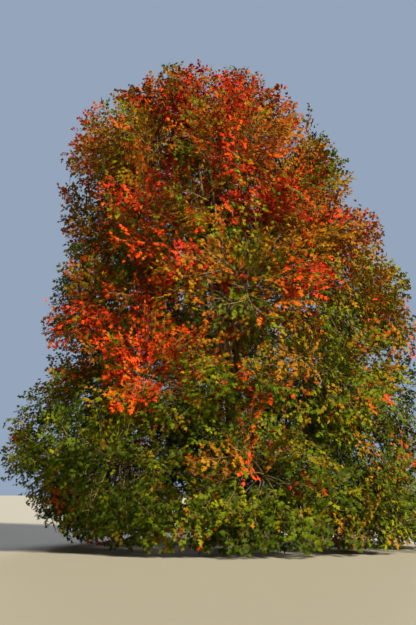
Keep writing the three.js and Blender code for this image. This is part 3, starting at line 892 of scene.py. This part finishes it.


# Autumn colour, and painted shade low on the crown

# Patches of one tint on the crown: the bearing in degrees and the height of each, its size, and its
# share of the leaves there
PATCHES = (
    ("flame", -121, 6.8, 0.77, 0.80),
    ("flame", -143, 5.7, 0.62, 0.75),
    ("flame", -115, 6.1, 0.36, 0.70),
    ("flame", -111, 4.8, 0.79, 0.65),
    ("orange", -99, 5.3, 0.51, 0.60),
    ("red", -125, 3.4, 0.36, 0.60),
    ("orange", -118, 4.0, 0.51, 0.55),
    ("orange", -75, 4.0, 0.67, 0.40),
    ("rust", -68, 2.9, 0.36, 0.60),
    ("red", -60, 2.6, 0.36, 0.45),
    ("red", -64, 1.3, 0.36, 0.50),
    ("orange", -101, 1.6, 0.36, 0.60),
    ("red", -76, 9.0, 0.56, 0.80),
    ("red", -57, 7.5, 0.66, 0.75),
    ("flame", -89, 8.8, 0.47, 0.45),
    ("red", -120, 9.7, 0.46, 0.60),
    ("flame", -119, 8.4, 0.54, 0.50),
    ("flame", -99, 8.1, 0.36, 0.50),
    ("red", -94, 10.1, 0.41, 0.60),
    ("crimson", -149, 12.6, 0.41, 0.60),
    ("crimson", -164, 12.0, 0.51, 0.60),
    ("red", -76, 12.6, 0.72, 0.50),
    ("red", -113, 12.6, 0.46, 0.45),
    ("rust", -59, 10.9, 0.57, 0.45),
    ("red", -105, 10.7, 0.37, 0.50),
    ("red", -100, 7.3, 0.36, 0.55),
    ("yellow_green", -120, 10.8, 0.36, 0.45),
    ("green", -158, 10.2, 0.69, 0.40),
    ("orange", -57, 8.7, 0.46, 0.50),
    ("orange", -76, 6.5, 0.85, 0.35),
    ("green", -57, 6.1, 0.82, 0.40),
    ("orange", -36, 6.2, 0.51, 0.45),
    ("green", -142, 8.1, 0.57, 0.40),
    ("orange", -109, 7.3, 0.40, 0.35),
    ("rust", -160, 12.9, 1.40, 0.70),
    ("red", -142, 12.6, 0.46, 0.60),
    ("crimson", -145, 11.5, 0.42, 0.50),
    # The deep_green patches low on the crown are partly the leaves' own deep green and partly painted shade:
    # they darken the low front-right and front-left rims, where the crown lies in shade.
    ("deep_green", -40, 4.2, 0.74, 0.50),
    ("deep_green", -139, 3.2, 0.77, 0.50),
    ("deep_green", -151, 2.1, 0.81, 0.50),
    ("deep_green", -97, 1.9, 0.61, 0.40),
    ("olive", -62, 1.9, 1.20, 0.40),
    ("gold", -50, 1.1, 0.90, 0.35),
    ("green", -45, 4.8, 1.10, 0.60),
    ("olive", -42, 7.0, 0.80, 0.40),
    ("deep_green", -128, 2.6, 0.90, 0.50),
)
TINT_NAMES = list(TINTS)


def tint_weights(point):
    """How much of each tint a spray at a point draws from: its height's shares, drawn towards the
    patches near it. The patches come again on the far side, mirrored."""
    heights = [height for height, _ in TINT_SHARES]
    table = np.array([shares for _, shares in TINT_SHARES], float)
    weights = np.array([np.interp(point[2], heights, column) for column in table.T])
    weights /= weights.sum()
    bearing = abs(math.atan2(point[1], point[0]))
    for tint, patch_bearing, height, size, share in PATCHES:
        along = (bearing - math.radians(abs(patch_bearing))) * crown_reach(height, bearing)
        gap = math.hypot(along, point[2] - height) / size
        pull = share * math.exp(-(gap**2) / PATCH_EDGE)
        weights *= 1 - pull
        weights[TINT_NAMES.index(tint)] += pull
    return weights


def main_tints():
    """The main and the second tint of each spray. Sprays that hang together draw from the same end of
    the weights, so that the tints lie in clumps."""
    fields = []
    for spray in sprays:
        place = Vector(spray.middle) + TINT_PLACE
        small = noise.noise(place / TINT_CLUMPS["small"] + TINT_SMALL_PLACE)
        fields.append(noise.noise(place / TINT_CLUMPS["large"]) + TINT_CLUMPS["share"] * small)
    levels = (np.argsort(np.argsort(fields)) + 0.5) / len(fields)
    rng = np.random.default_rng(TINT_SEED)
    levels = np.clip(levels + rng.normal(0, TINT_SCATTER, len(levels)), *TINT_ENDS)
    chosen = []
    for spray, level in zip(sprays, levels):
        steps = np.cumsum(tint_weights(spray.middle))
        chosen.append(np.searchsorted(steps, (level, rng.random())))
    return np.minimum(chosen, len(TINTS) - 1)


# Corners of a leaf: its foot, a side lobe, the notch above it, its tip, and the other notch and lobe
LEAF_OUTLINE = (
    (0, 0, 0), (0.5, 0.47, -0.1), (0.19, 0.56, -0.01),
    (0, 1, -0.08), (-0.19, 0.56, -0.01), (-0.5, 0.47, -0.1),
)


def model_leaf():
    """One three-lobed leaf, a unit long, folded along its midrib. It points along +Y."""
    bpy.ops.object.select_all(action="DESELECT")
    count = len(LEAF_OUTLINE)
    bpy.ops.mesh.primitive_circle_add(vertices=count, radius=0.5, fill_type="NGON", location=(0, 0, 0))
    leaf = bpy.context.object

    def turn_of(i):
        corner = leaf.data.vertices[i].co
        return math.atan2(corner.x, -corner.y) % (2 * math.pi)

    for corner, place in zip(sorted(range(count), key=turn_of), LEAF_OUTLINE):
        bpy.ops.object.mode_set(mode="EDIT")
        bpy.ops.mesh.select_mode(type="VERT")
        bpy.ops.mesh.select_all(action="DESELECT")
        bpy.ops.object.mode_set(mode="OBJECT")
        vertex = leaf.data.vertices[corner]
        vertex.select = True
        step = Vector(place) - vertex.co
        bpy.ops.object.mode_set(mode="EDIT")
        bpy.ops.transform.translate(value=step)
        bpy.ops.object.mode_set(mode="OBJECT")
    bpy.ops.object.mode_set(mode="EDIT")
    bpy.ops.mesh.select_all(action="SELECT")
    bpy.ops.mesh.quads_convert_to_tris(quad_method="BEAUTY", ngon_method="BEAUTY")
    bpy.ops.mesh.normals_make_consistent(inside=False)
    bpy.ops.object.mode_set(mode="OBJECT")
    corners = np.array([vertex.co for vertex in leaf.data.vertices])
    faces = np.array([list(face.vertices) for face in leaf.data.polygons])
    for face in faces:
        a, b, c = corners[face]
        if np.cross(b - a, c - a)[2] < 0:
            face[1:] = face[2], face[1]
    mesh = leaf.data
    bpy.data.objects.remove(leaf)
    bpy.data.meshes.remove(mesh)
    return corners, faces


def shoots_of(spray, rng):
    """The shoots of a spray: pairs on both sides of its line, each pair turned from the one before."""
    length, direction = spray.length, spray.direction
    rise = rng.uniform(0.0, LINE_BOW["up"]) - LINE_BOW["droop"] * spray.mass.droop
    bow = UP * length * rise + spray.side * length * rng.uniform(-LINE_BOW["side"], LINE_BOW["side"])

    def on_line(shares):
        return spray.root + np.outer(shares * length, direction) + np.outer(shares**2, bow)

    along = np.linspace(*NODE_PLACES, NODES)
    nodes = on_line(along)
    spray.line = on_line(np.linspace(0, 1, LINE_POINTS))
    roll = np.where(np.arange(NODES) % 2, SHOOT_TURN["pair"], 0)
    roll = roll + rng.uniform(-SHOOT_TURN["spread"], SHOOT_TURN["spread"], NODES)
    lateral = np.cos(roll)[:, None] * spray.side + np.sin(roll)[:, None] * spray.normal
    lean = rng.uniform(*SHOOT_LEAN, (NODES, 2, 1))
    lift = UP * rng.uniform(*SHOOT_LIFT, (NODES, 2, 1))
    sign = np.array((-1, 1))[None, :, None]
    heading = direction * np.cos(lean) + lateral[:, None] * sign * np.sin(lean) + lift
    swell = np.sin(np.pi * (SHOOT_SWELL["from"] + SHOOT_SWELL["span"] * along)) ** SHOOT_SWELL["power"]
    size = length * SHOOT * swell
    size = size[:, None] * rng.uniform(*SHOOT_SIZES, (NODES, 2))
    starts = np.repeat(nodes[:, None], 2, axis=1).reshape(-1, 3)
    starts = np.vstack((starts, spray.line[-1] - direction * TIP_SHOOT["back"]))
    headings = np.vstack((unit(heading).reshape(-1, 3), unit(direction + UP * TIP_SHOOT["up"])))
    return starts, headings, np.append(size.reshape(-1), TIP_SHOOT["size"] * length)


def leaves_of(spray, starts, headings, sizes, rng):
    """The leaves of a spray's shoots: pairs along each, and one at its tip. Each has its foot, the
    way it points, the way it faces, its size and the number of its shoot."""
    count = len(sizes)
    pairs = np.clip(np.round(sizes / LEAF_GAP), 1, LEAF_PAIRS).astype(int)
    order = np.arange(LEAF_PAIRS)[None]
    share = (order + PAIR_PLACES["first"]) / (pairs[:, None] + PAIR_PLACES["spare"])
    feet = starts[:, None] + headings[:, None] * (sizes[:, None] * share)[..., None]
    across = unit(np.cross(headings, spray.normal) + rng.normal(0, PAIR_SPREAD, (count, 3)))
    feet = np.repeat(feet[:, :, None], 2, axis=2)
    sign = np.array((-1, 1))[None, None, :, None]
    aside = across[:, None, None] * sign * LEAF_POINT["aside"]
    point = headings[:, None, None] * LEAF_POINT["along"] + aside - UP * LEAF_POINT["down"]
    point = point + rng.normal(0, LEAF_POINT["spread"], feet.shape)
    kept = np.repeat((order < pairs[:, None])[:, :, None], 2, axis=2)
    bare = rng.random() < BARE_SHARE and spray.root[2] > BARE_ABOVE
    kept &= rng.random(kept.shape) > (BARE_SHED_SHARE if bare else SHED_SHARE)
    shoot = np.broadcast_to(np.arange(count)[:, None, None], kept.shape)
    feet = np.vstack((feet[kept], starts + headings * sizes[:, None]))
    at_tip = headings - UP * TIP_LEAF["down"] + rng.normal(0, TIP_LEAF["spread"], (count, 3))
    point = unit(np.vstack((point[kept], at_tip)))
    shoot = np.append(shoot[kept], np.arange(count))
    facing = spray.normal + spray.mass.outward * LEAF_FACING["outward"] + UP * LEAF_FACING["up"]
    facing = facing + rng.normal(0, LEAF_FACING["spread"], point.shape)
    facing = unit(facing - point * (facing * point).sum(1)[:, None])
    size = rng.uniform(*LEAF_SIZE, len(feet)) * spray.scale
    inside = in_crown(feet + point * size[:, None], LEAF_REACH)
    inside &= ~in_gap(feet) | (rng.random(len(feet)) < GAP_LEAVES)
    middle = Vector(spray.root + spray.direction * spray.length / 2)
    if wood_tree.find_nearest(middle, spray.length)[0] is not None:
        for i in np.flatnonzero(inside):
            if wood_tree.find_nearest(Vector(feet[i]), LEAF_CLEAR)[0] is not None:
                inside[i] = False
    return feet[inside], point[inside], facing[inside], size[inside], shoot[inside]


def grow_leaves():
    """Every leaf of the tree, by tint, and the shoots that bear them."""
    by_tint = {name: [] for name in TINTS}
    nodes_of = {name: set() for name in TINTS}
    shoots = []
    for spray, (main, second) in zip(sprays, main_tints()):
        rng = np.random.default_rng(spray.key)
        starts, headings, sizes = shoots_of(spray, rng)
        inside = in_crown(starts + headings * sizes[:, None], 0)
        if not inside.any():
            spray.line = None
            continue
        spray.line = spray.line[: max(in_crown(spray.line, 0).sum(), 2)]
        starts, headings, sizes = starts[inside], headings[inside], sizes[inside]
        feet, point, facing, size, shoot = leaves_of(spray, starts, headings, sizes, rng)
        shoots.append((starts, headings, sizes))
        tints = main + rng.choice((-1, 0, 1), len(sizes), p=NEIGHBOUR_TINTS)
        tints = np.where(rng.random(len(sizes)) < SECOND_SHARE, second, tints)
        tint = np.clip(tints, 0, len(TINTS) - 1)[shoot]
        for k, name in enumerate(TINTS):
            chosen = tint == k
            if chosen.any():
                by_tint[name].append((feet[chosen], point[chosen], facing[chosen], size[chosen]))
                nodes_of[name].add("foliage_" + spray.mass.name)
    return by_tint, nodes_of, shoots


# Materials

def new_material(name):
    material = bpy.data.materials.new(name)
    material.use_nodes = True
    nodes = material.node_tree.nodes
    shader = next(node for node in nodes if node.type == "BSDF_PRINCIPLED")
    return material, shader


FURROW_SHARE = 0.6


def mottle_group():
    """A node group that puts out a mask of soft mottling and a height that follows it. Stretch
    draws the pattern out along the upright axis."""
    group = bpy.data.node_groups.new("Mottle", "ShaderNodeTree")
    for name, value in (("Scale", 6.0), ("Stretch", 1.0), ("Detail", 4.0)):
        socket = group.interface.new_socket(name, in_out="INPUT", socket_type="NodeSocketFloat")
        socket.default_value = value
    group.interface.new_socket("Mask", in_out="OUTPUT", socket_type="NodeSocketFloat")
    group.interface.new_socket("Height", in_out="OUTPUT", socket_type="NodeSocketFloat")
    nodes, links = group.nodes, group.links
    inside = nodes.new("NodeGroupInput")
    outside = nodes.new("NodeGroupOutput")
    place = nodes.new("ShaderNodeTexCoord")
    stretch = nodes.new("ShaderNodeCombineXYZ")
    stretch.inputs["X"].default_value = 1
    stretch.inputs["Y"].default_value = 1
    scaled = nodes.new("ShaderNodeVectorMath")
    scaled.operation = "MULTIPLY"
    pattern = nodes.new("ShaderNodeTexNoise")
    furrows = nodes.new("ShaderNodeTexVoronoi")
    furrows.feature = "DISTANCE_TO_EDGE"
    both = nodes.new("ShaderNodeMath")
    both.operation = "MULTIPLY_ADD"
    both.inputs[1].default_value = FURROW_SHARE
    links.new(inside.outputs["Stretch"], stretch.inputs["Z"])
    links.new(place.outputs["Object"], scaled.inputs[0])
    links.new(stretch.outputs["Vector"], scaled.inputs[1])
    for texture in (pattern, furrows):
        links.new(scaled.outputs["Vector"], texture.inputs["Vector"])
        links.new(inside.outputs["Scale"], texture.inputs["Scale"])
    links.new(inside.outputs["Detail"], pattern.inputs["Detail"])
    links.new(furrows.outputs["Distance"], both.inputs[0])
    links.new(pattern.outputs["Fac"], both.inputs[2])
    links.new(pattern.outputs["Fac"], outside.inputs["Mask"])
    links.new(both.outputs["Value"], outside.inputs["Height"])
    return group


mottle = mottle_group()


def place_mottle(material, scale, stretch, detail):
    node = material.node_tree.nodes.new("ShaderNodeGroup")
    node.node_tree = mottle
    node.inputs["Scale"].default_value = scale
    node.inputs["Stretch"].default_value = stretch
    node.inputs["Detail"].default_value = detail
    return node


def add_bump(material, shader, height, strength, distance):
    bump = material.node_tree.nodes.new("ShaderNodeBump")
    bump.inputs["Strength"].default_value = strength
    bump.inputs["Distance"].default_value = distance
    material.node_tree.links.new(height, bump.inputs["Height"])
    material.node_tree.links.new(bump.outputs["Normal"], shader.inputs["Normal"])


def linear(colour):
    """A colour of plain sRGB in the shader's own values, with its alpha."""
    return tuple(c / 12.92 if c <= 0.04045 else ((c + 0.055) / 1.055) ** 2.4 for c in colour) + (1.0,)


def bark_material(name, dark, light, scale, stretch, bump):
    """Bark whose colour and relief follow upright furrows."""
    material, shader = new_material(name)
    nodes, links = material.node_tree.nodes, material.node_tree.links
    pattern = place_mottle(material, scale, stretch, detail=6.0)
    ramp = nodes.new("ShaderNodeValToRGB")
    ramp.color_ramp.elements[0].position = 0.32
    ramp.color_ramp.elements[0].color = linear(dark)
    ramp.color_ramp.elements[1].position = 0.66
    ramp.color_ramp.elements[1].color = linear(light)
    links.new(pattern.outputs["Mask"], ramp.inputs["Fac"])
    links.new(ramp.outputs["Color"], shader.inputs["Base Color"])
    shader.inputs["Roughness"].default_value = 0.85
    shader.inputs["Specular IOR Level"].default_value = 0.25
    add_bump(material, shader, pattern.outputs["Height"], strength=bump, distance=0.02)
    return material


def leaf_material(name, tint):
    """A leaf's plain tint. Its gloss and its fine relief vary over the blade."""
    material, shader = new_material(name)
    nodes, links = material.node_tree.nodes, material.node_tree.links
    pattern = place_mottle(material, scale=22.0, stretch=1.0, detail=2.0)
    gloss = nodes.new("ShaderNodeMapRange")
    gloss.inputs["To Min"].default_value = 0.5
    gloss.inputs["To Max"].default_value = 0.75
    links.new(pattern.outputs["Mask"], gloss.inputs["Value"])
    links.new(gloss.outputs["Result"], shader.inputs["Roughness"])
    shader.inputs["Base Color"].default_value = linear(tint)
    shader.inputs["Specular IOR Level"].default_value = 0.1
    add_bump(material, shader, pattern.outputs["Height"], strength=0.25, distance=0.01)
    return material


bark = bark_material(
    "old_bark", dark=(0.30, 0.26, 0.20), light=(0.60, 0.55, 0.44), scale=9.0, stretch=0.22, bump=0.9
)
young_bark = bark_material(
    "young_bark", dark=(0.46, 0.40, 0.27), light=(0.72, 0.64, 0.44), scale=14.0, stretch=0.5, bump=0.4
)
twig_bark = bark_material(
    "twig_bark", dark=(0.27, 0.23, 0.16), light=(0.48, 0.42, 0.29), scale=14.0, stretch=0.5, bump=0.4
)


# Limbs, drawn ring by ring

def deselect():
    for obj in bpy.context.selected_objects:
        obj.select_set(False)


def turn_ring(before, after, pivot):
    """Turns the selected ring from one heading to another about its middle."""
    turn = Vector(before).rotation_difference(Vector(after)).to_euler("XYZ")
    for axis, angle in zip("XYZ", turn):
        if abs(angle) > 1e-5:
            bpy.ops.transform.rotate(value=-angle, orient_axis=axis, center_override=pivot)


def draw_limb(limb, sides, steps, levels):
    """A limb: a ring at its foot, extruded, resized and turned at each step, then rounded. The
    rounding draws each ring in, so it is drawn that much wider."""
    shares = [step / steps for step in range(steps + 1)]
    middles = [limb.curve.point(share) for share in shares]
    headings = [limb.curve.heading(share) for share in shares]
    widen = 6 / (4 + 2 * math.cos(2 * math.pi / sides))
    radii = [limb.radius_at(share) * widen for share in shares]
    deselect()
    tilt = Vector((0, 0, 1)).rotation_difference(Vector(headings[0])).to_euler("XYZ")
    bpy.ops.mesh.primitive_circle_add(
        vertices=sides, radius=radii[0], fill_type="NGON", location=middles[0], rotation=tilt
    )
    piece = bpy.context.object
    piece.name = "bark_" + limb.name
    piece.data.name = piece.name
    bpy.ops.object.transform_apply(location=True, rotation=True, scale=True)
    bpy.ops.object.mode_set(mode="EDIT")
    bpy.ops.mesh.select_all(action="SELECT")
    bpy.ops.transform.edge_crease(value=1)
    for step in range(1, steps + 1):
        move = Vector(middles[step] - middles[step - 1])
        bpy.ops.mesh.extrude_region_move(TRANSFORM_OT_translate={"value": move})
        grow = radii[step] / radii[step - 1]
        pivot = Vector(middles[step])
        bpy.ops.transform.resize(value=(grow, grow, grow), center_override=pivot)
        turn_ring(headings[step - 1], headings[step], pivot)
    bpy.ops.mesh.select_all(action="SELECT")
    bpy.ops.mesh.normals_make_consistent(inside=False)
    bpy.ops.object.mode_set(mode="OBJECT")
    if limb.name == "trunk":
        shape_flare(piece)
    rounding = piece.modifiers.new("rounding", "SUBSURF")
    rounding.levels = levels
    rounding.render_levels = levels
    bpy.ops.object.modifier_apply(modifier=rounding.name)
    raise_bark(piece, limb)
    bpy.ops.object.shade_smooth()
    piece.data.materials.append(bark)
    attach(piece, "root")
    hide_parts(limb.name)
    return piece


def shape_flare(piece):
    """Draws the root flare out into its lobes."""
    for vertex in piece.data.vertices:
        height = vertex.co.z
        if height > FLARE_TOP:
            continue
        angle = math.atan2(vertex.co.y, vertex.co.x)
        lobe = FLARE["lobe_share"] * math.cos(FLARE["lobes"] * angle)
        out = FLARE["size"] * lobe * math.exp(-height / FLARE["height"])
        flat = Vector((math.cos(angle), math.sin(angle), 0))
        vertex.co += flat * out


def raise_bark(piece, limb):
    """Raises the bark into ridges and plates along the limb, deepest on the trunk."""
    depth = min(RELIEF["most"], RELIEF["share"] * limb.radius_at(RELIEF_PLACE))
    normals = [vertex.normal.copy() for vertex in piece.data.vertices]
    for vertex, normal in zip(piece.data.vertices, normals):
        place = vertex.co
        ridge = noise.noise(Vector((place.x * RIDGES[0], place.y * RIDGES[0], place.z * RIDGES[1])))
        on_plates = Vector((place.x * PLATES[0], place.y * PLATES[0], place.z * PLATES[1]))
        plate = noise.noise(on_plates + Vector((7, 3, 1)))
        swell = noise.noise(place * SWELLING)
        height = RELIEF["ridge"] * (1 - 2 * abs(ridge)) + RELIEF["plate"] * plate + RELIEF["swell"] * swell
        vertex.co += normal * depth * (height - RELIEF["sunk"])
        if limb.name == "trunk" and vertex.co.z < FOOT_BAND:
            vertex.co.z = 0


# Sides, steps and rounding levels of each kind of limb
FINENESS = {"trunk": (14, 22, 2), "stem": (10, 14, 2), "bough": (8, 9, 1)}
for limb in limbs:
    draw_limb(limb, *FINENESS[limb.name.split("_")[0]])


# Pieces joined from arrays

def joined_piece(name, corners, faces, material, slot, nodes):
    """One mesh from arrays of corners and three-cornered faces, which stands for some nodes."""
    mesh = bpy.data.meshes.new(name)
    mesh.vertices.add(len(corners))
    mesh.vertices.foreach_set("co", np.ascontiguousarray(corners, np.float32).ravel())
    mesh.loops.add(faces.size)
    mesh.loops.foreach_set("vertex_index", np.ascontiguousarray(faces, np.int32).ravel())
    mesh.polygons.add(len(faces))
    mesh.polygons.foreach_set("loop_start", np.arange(0, faces.size, 3, dtype=np.int32))
    mesh.update(calc_edges=True)
    mesh.validate()
    mesh.materials.append(material)
    piece = bpy.data.objects.new(name, mesh)
    bpy.context.scene.collection.objects.link(piece)
    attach(piece, "root")
    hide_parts(*nodes)
    print(name, len(faces), "triangles")
    return piece


def join(parts):
    """Joins (corners, faces) of many parts into one pair of arrays."""
    corners, faces, base = [], [], 0
    for part_corners, part_faces in parts:
        corners.append(part_corners)
        faces.append(part_faces + base)
        base += len(part_corners)
    return np.concatenate(corners), np.concatenate(faces)


foliage_nodes = ["foliage_" + mass.name for mass in masses]


def upright_stems():
    """The slender upright stems that show in the gaps."""
    parts = []
    for name, height, way in UPRIGHTS:
        leader = next(limb for limb in leaders if limb.name == name)
        foot = leader.curve.point(leader.curve.share_at_height(height))
        curve = Spline((foot, *way))
        parts.append(tube(curve, lambda along: mix(*UPRIGHT_RADII, along), *UPRIGHT_SHAPE))
    return join(parts)


def branchlets():
    """The stems of the masses, and their twigs."""
    parts = []
    for mass in masses:
        radii = HEART_RADII["direct" if mass.direct or mass.leader else "borne"]
        parts.append(tube(mass.stem, lambda along: mix(*radii, along**HEART_TAPER), *HEART_SHAPE))
        for twig in mass.twigs:
            parts.append(tube(twig.curve, lambda along: mix(*TWIG_RADII, along), *TWIG_SHAPE))
    return join(parts)


def spray_lines():
    """The line of each spray, as a thin closed tube of three sides."""
    parts = []
    for spray in sprays:
        if spray.line is not None:
            parts.append(tube(Spline(spray.line), lambda along: mix(*LINE_RADII, along), *LINE_SHAPE))
    return join(parts)


def shoot_spikes(shoots):
    """Each shoot as a closed spike of three sides."""
    starts = np.concatenate([part[0] for part in shoots])
    headings = np.concatenate([part[1] for part in shoots])
    sizes = np.concatenate([part[2] for part in shoots])
    across = unit(np.cross(headings, UP + OFF_UPRIGHT / 10))
    third = np.cross(headings, across)
    corners = np.empty((len(starts), 4, 3))
    for i in range(3):
        angle = i * 2 * math.pi / 3
        corners[:, i] = starts + SHOOT_RADIUS * (math.cos(angle) * across + math.sin(angle) * third)
    corners[:, 3] = starts + headings * sizes[:, None]
    faces = np.array(((0, 1, 3), (1, 2, 3), (2, 0, 3), (0, 2, 1)))
    faces = faces[None] + 4 * np.arange(len(starts))[:, None, None]
    return corners.reshape(-1, 3), faces.reshape(-1, 3)


def leaf_pieces(name, leaves, nodes, shape):
    """The leaves of one tint, each the one modelled leaf turned and sized to its place."""
    colour, slot = TINTS[name]
    material = leaf_material("leaf_" + name, colour)
    corners, faces = shape
    feet, point, facing, size = (np.concatenate(part) for part in zip(*leaves))
    aside = np.cross(point, facing)
    for first in range(0, len(feet), LEAVES_PER_PIECE):
        part = slice(first, first + LEAVES_PER_PIECE)
        axes = np.stack((aside[part], point[part], facing[part]), 1) * size[part, None, None]
        places = feet[part, None] + np.einsum("ck,nkd->ncd", corners, axes)
        count = len(places)
        index = faces[None] + len(corners) * np.arange(count)[:, None, None]
        number = f"_{first // LEAVES_PER_PIECE + 1}" if len(feet) > LEAVES_PER_PIECE else ""
        piece_name = f"leaves_{name}{number}"
        joined_piece(piece_name, places.reshape(-1, 3), index.reshape(-1, 3), material, slot, nodes)


leaf_shape = model_leaf()
leaves_by_tint, nodes_by_tint, all_shoots = grow_leaves()
joined_piece("upright_stems", *upright_stems(), young_bark, "bark", foliage_nodes)
joined_piece("branchlets", *branchlets(), twig_bark, "bark", foliage_nodes)
joined_piece("spray_lines", *spray_lines(), young_bark, "bark", foliage_nodes)
joined_piece("shoots", *shoot_spikes(all_shoots), young_bark, "bark", foliage_nodes)
for tint_name, leaves in leaves_by_tint.items():
    leaf_pieces(tint_name, leaves, sorted(nodes_by_tint[tint_name]), leaf_shape)


# Floor, light and camera

FLOOR_SIZE = 400
LENS = 50
SENSOR_WIDTH = 36
CLIP_END = 1000
CAMERA_TILT = 11.5


def add_floor():
    deselect()
    bpy.ops.mesh.primitive_plane_add(size=FLOOR_SIZE, location=(0, 0, 0))
    floor = bpy.context.object
    floor.name = "floor"
    material, shader = new_material("pale_floor")
    shader.inputs["Base Color"].default_value = (0.47, 0.47, 0.45, 1)
    shader.inputs["Roughness"].default_value = 0.9
    floor.data.materials.append(material)


def add_sun(name, strength, colour, angle, source):
    sun = bpy.data.lights.new(name, "SUN")
    sun.energy = strength
    sun.color = colour
    sun.angle = math.radians(angle)
    lamp = bpy.data.objects.new(name, sun)
    lamp.rotation_euler = Vector(source).to_track_quat("Z", "Y").to_euler()
    bpy.context.scene.collection.objects.link(lamp)


def add_camera():
    data = bpy.data.cameras.new("camera")
    data.lens = LENS
    data.sensor_width = SENSOR_WIDTH
    data.clip_end = CLIP_END
    camera = bpy.data.objects.new("camera", data)
    camera.location = EYE
    camera.rotation_euler = (math.radians(90 + CAMERA_TILT), 0, 0)
    bpy.context.scene.collection.objects.link(camera)
    bpy.context.scene.camera = camera


def light_world():
    """A faint light all round, and a plain backdrop of dull blue where the camera looks past the tree."""
    world = bpy.data.worlds.new("studio")
    world.use_nodes = True
    bpy.context.scene.world = world
    nodes, links = world.node_tree.nodes, world.node_tree.links
    nodes.clear()
    soft = nodes.new("ShaderNodeBackground")
    soft.inputs["Color"].default_value = (1.0, 0.97, 0.90, 1)
    soft.inputs["Strength"].default_value = 0.038
    backdrop = nodes.new("ShaderNodeBackground")
    backdrop.inputs["Color"].default_value = (0.30, 0.38, 0.50, 1)
    seen = nodes.new("ShaderNodeLightPath")
    either = nodes.new("ShaderNodeMixShader")
    links.new(seen.outputs["Is Camera Ray"], either.inputs["Fac"])
    links.new(soft.outputs["Background"], either.inputs[1])
    links.new(backdrop.outputs["Background"], either.inputs[2])
    links.new(either.outputs["Shader"], nodes.new("ShaderNodeOutputWorld").inputs["Surface"])


add_floor()
light_world()
add_sun("key", strength=6.3, colour=(1.0, 0.86, 0.60), angle=6, source=SUN_FROM)
add_sun("back_fill", strength=1.8, colour=(0.94, 0.96, 1.0), angle=30, source=(0.05, 1, 0.42))
add_camera()
bpy.context.scene.view_settings.view_transform = "Standard"
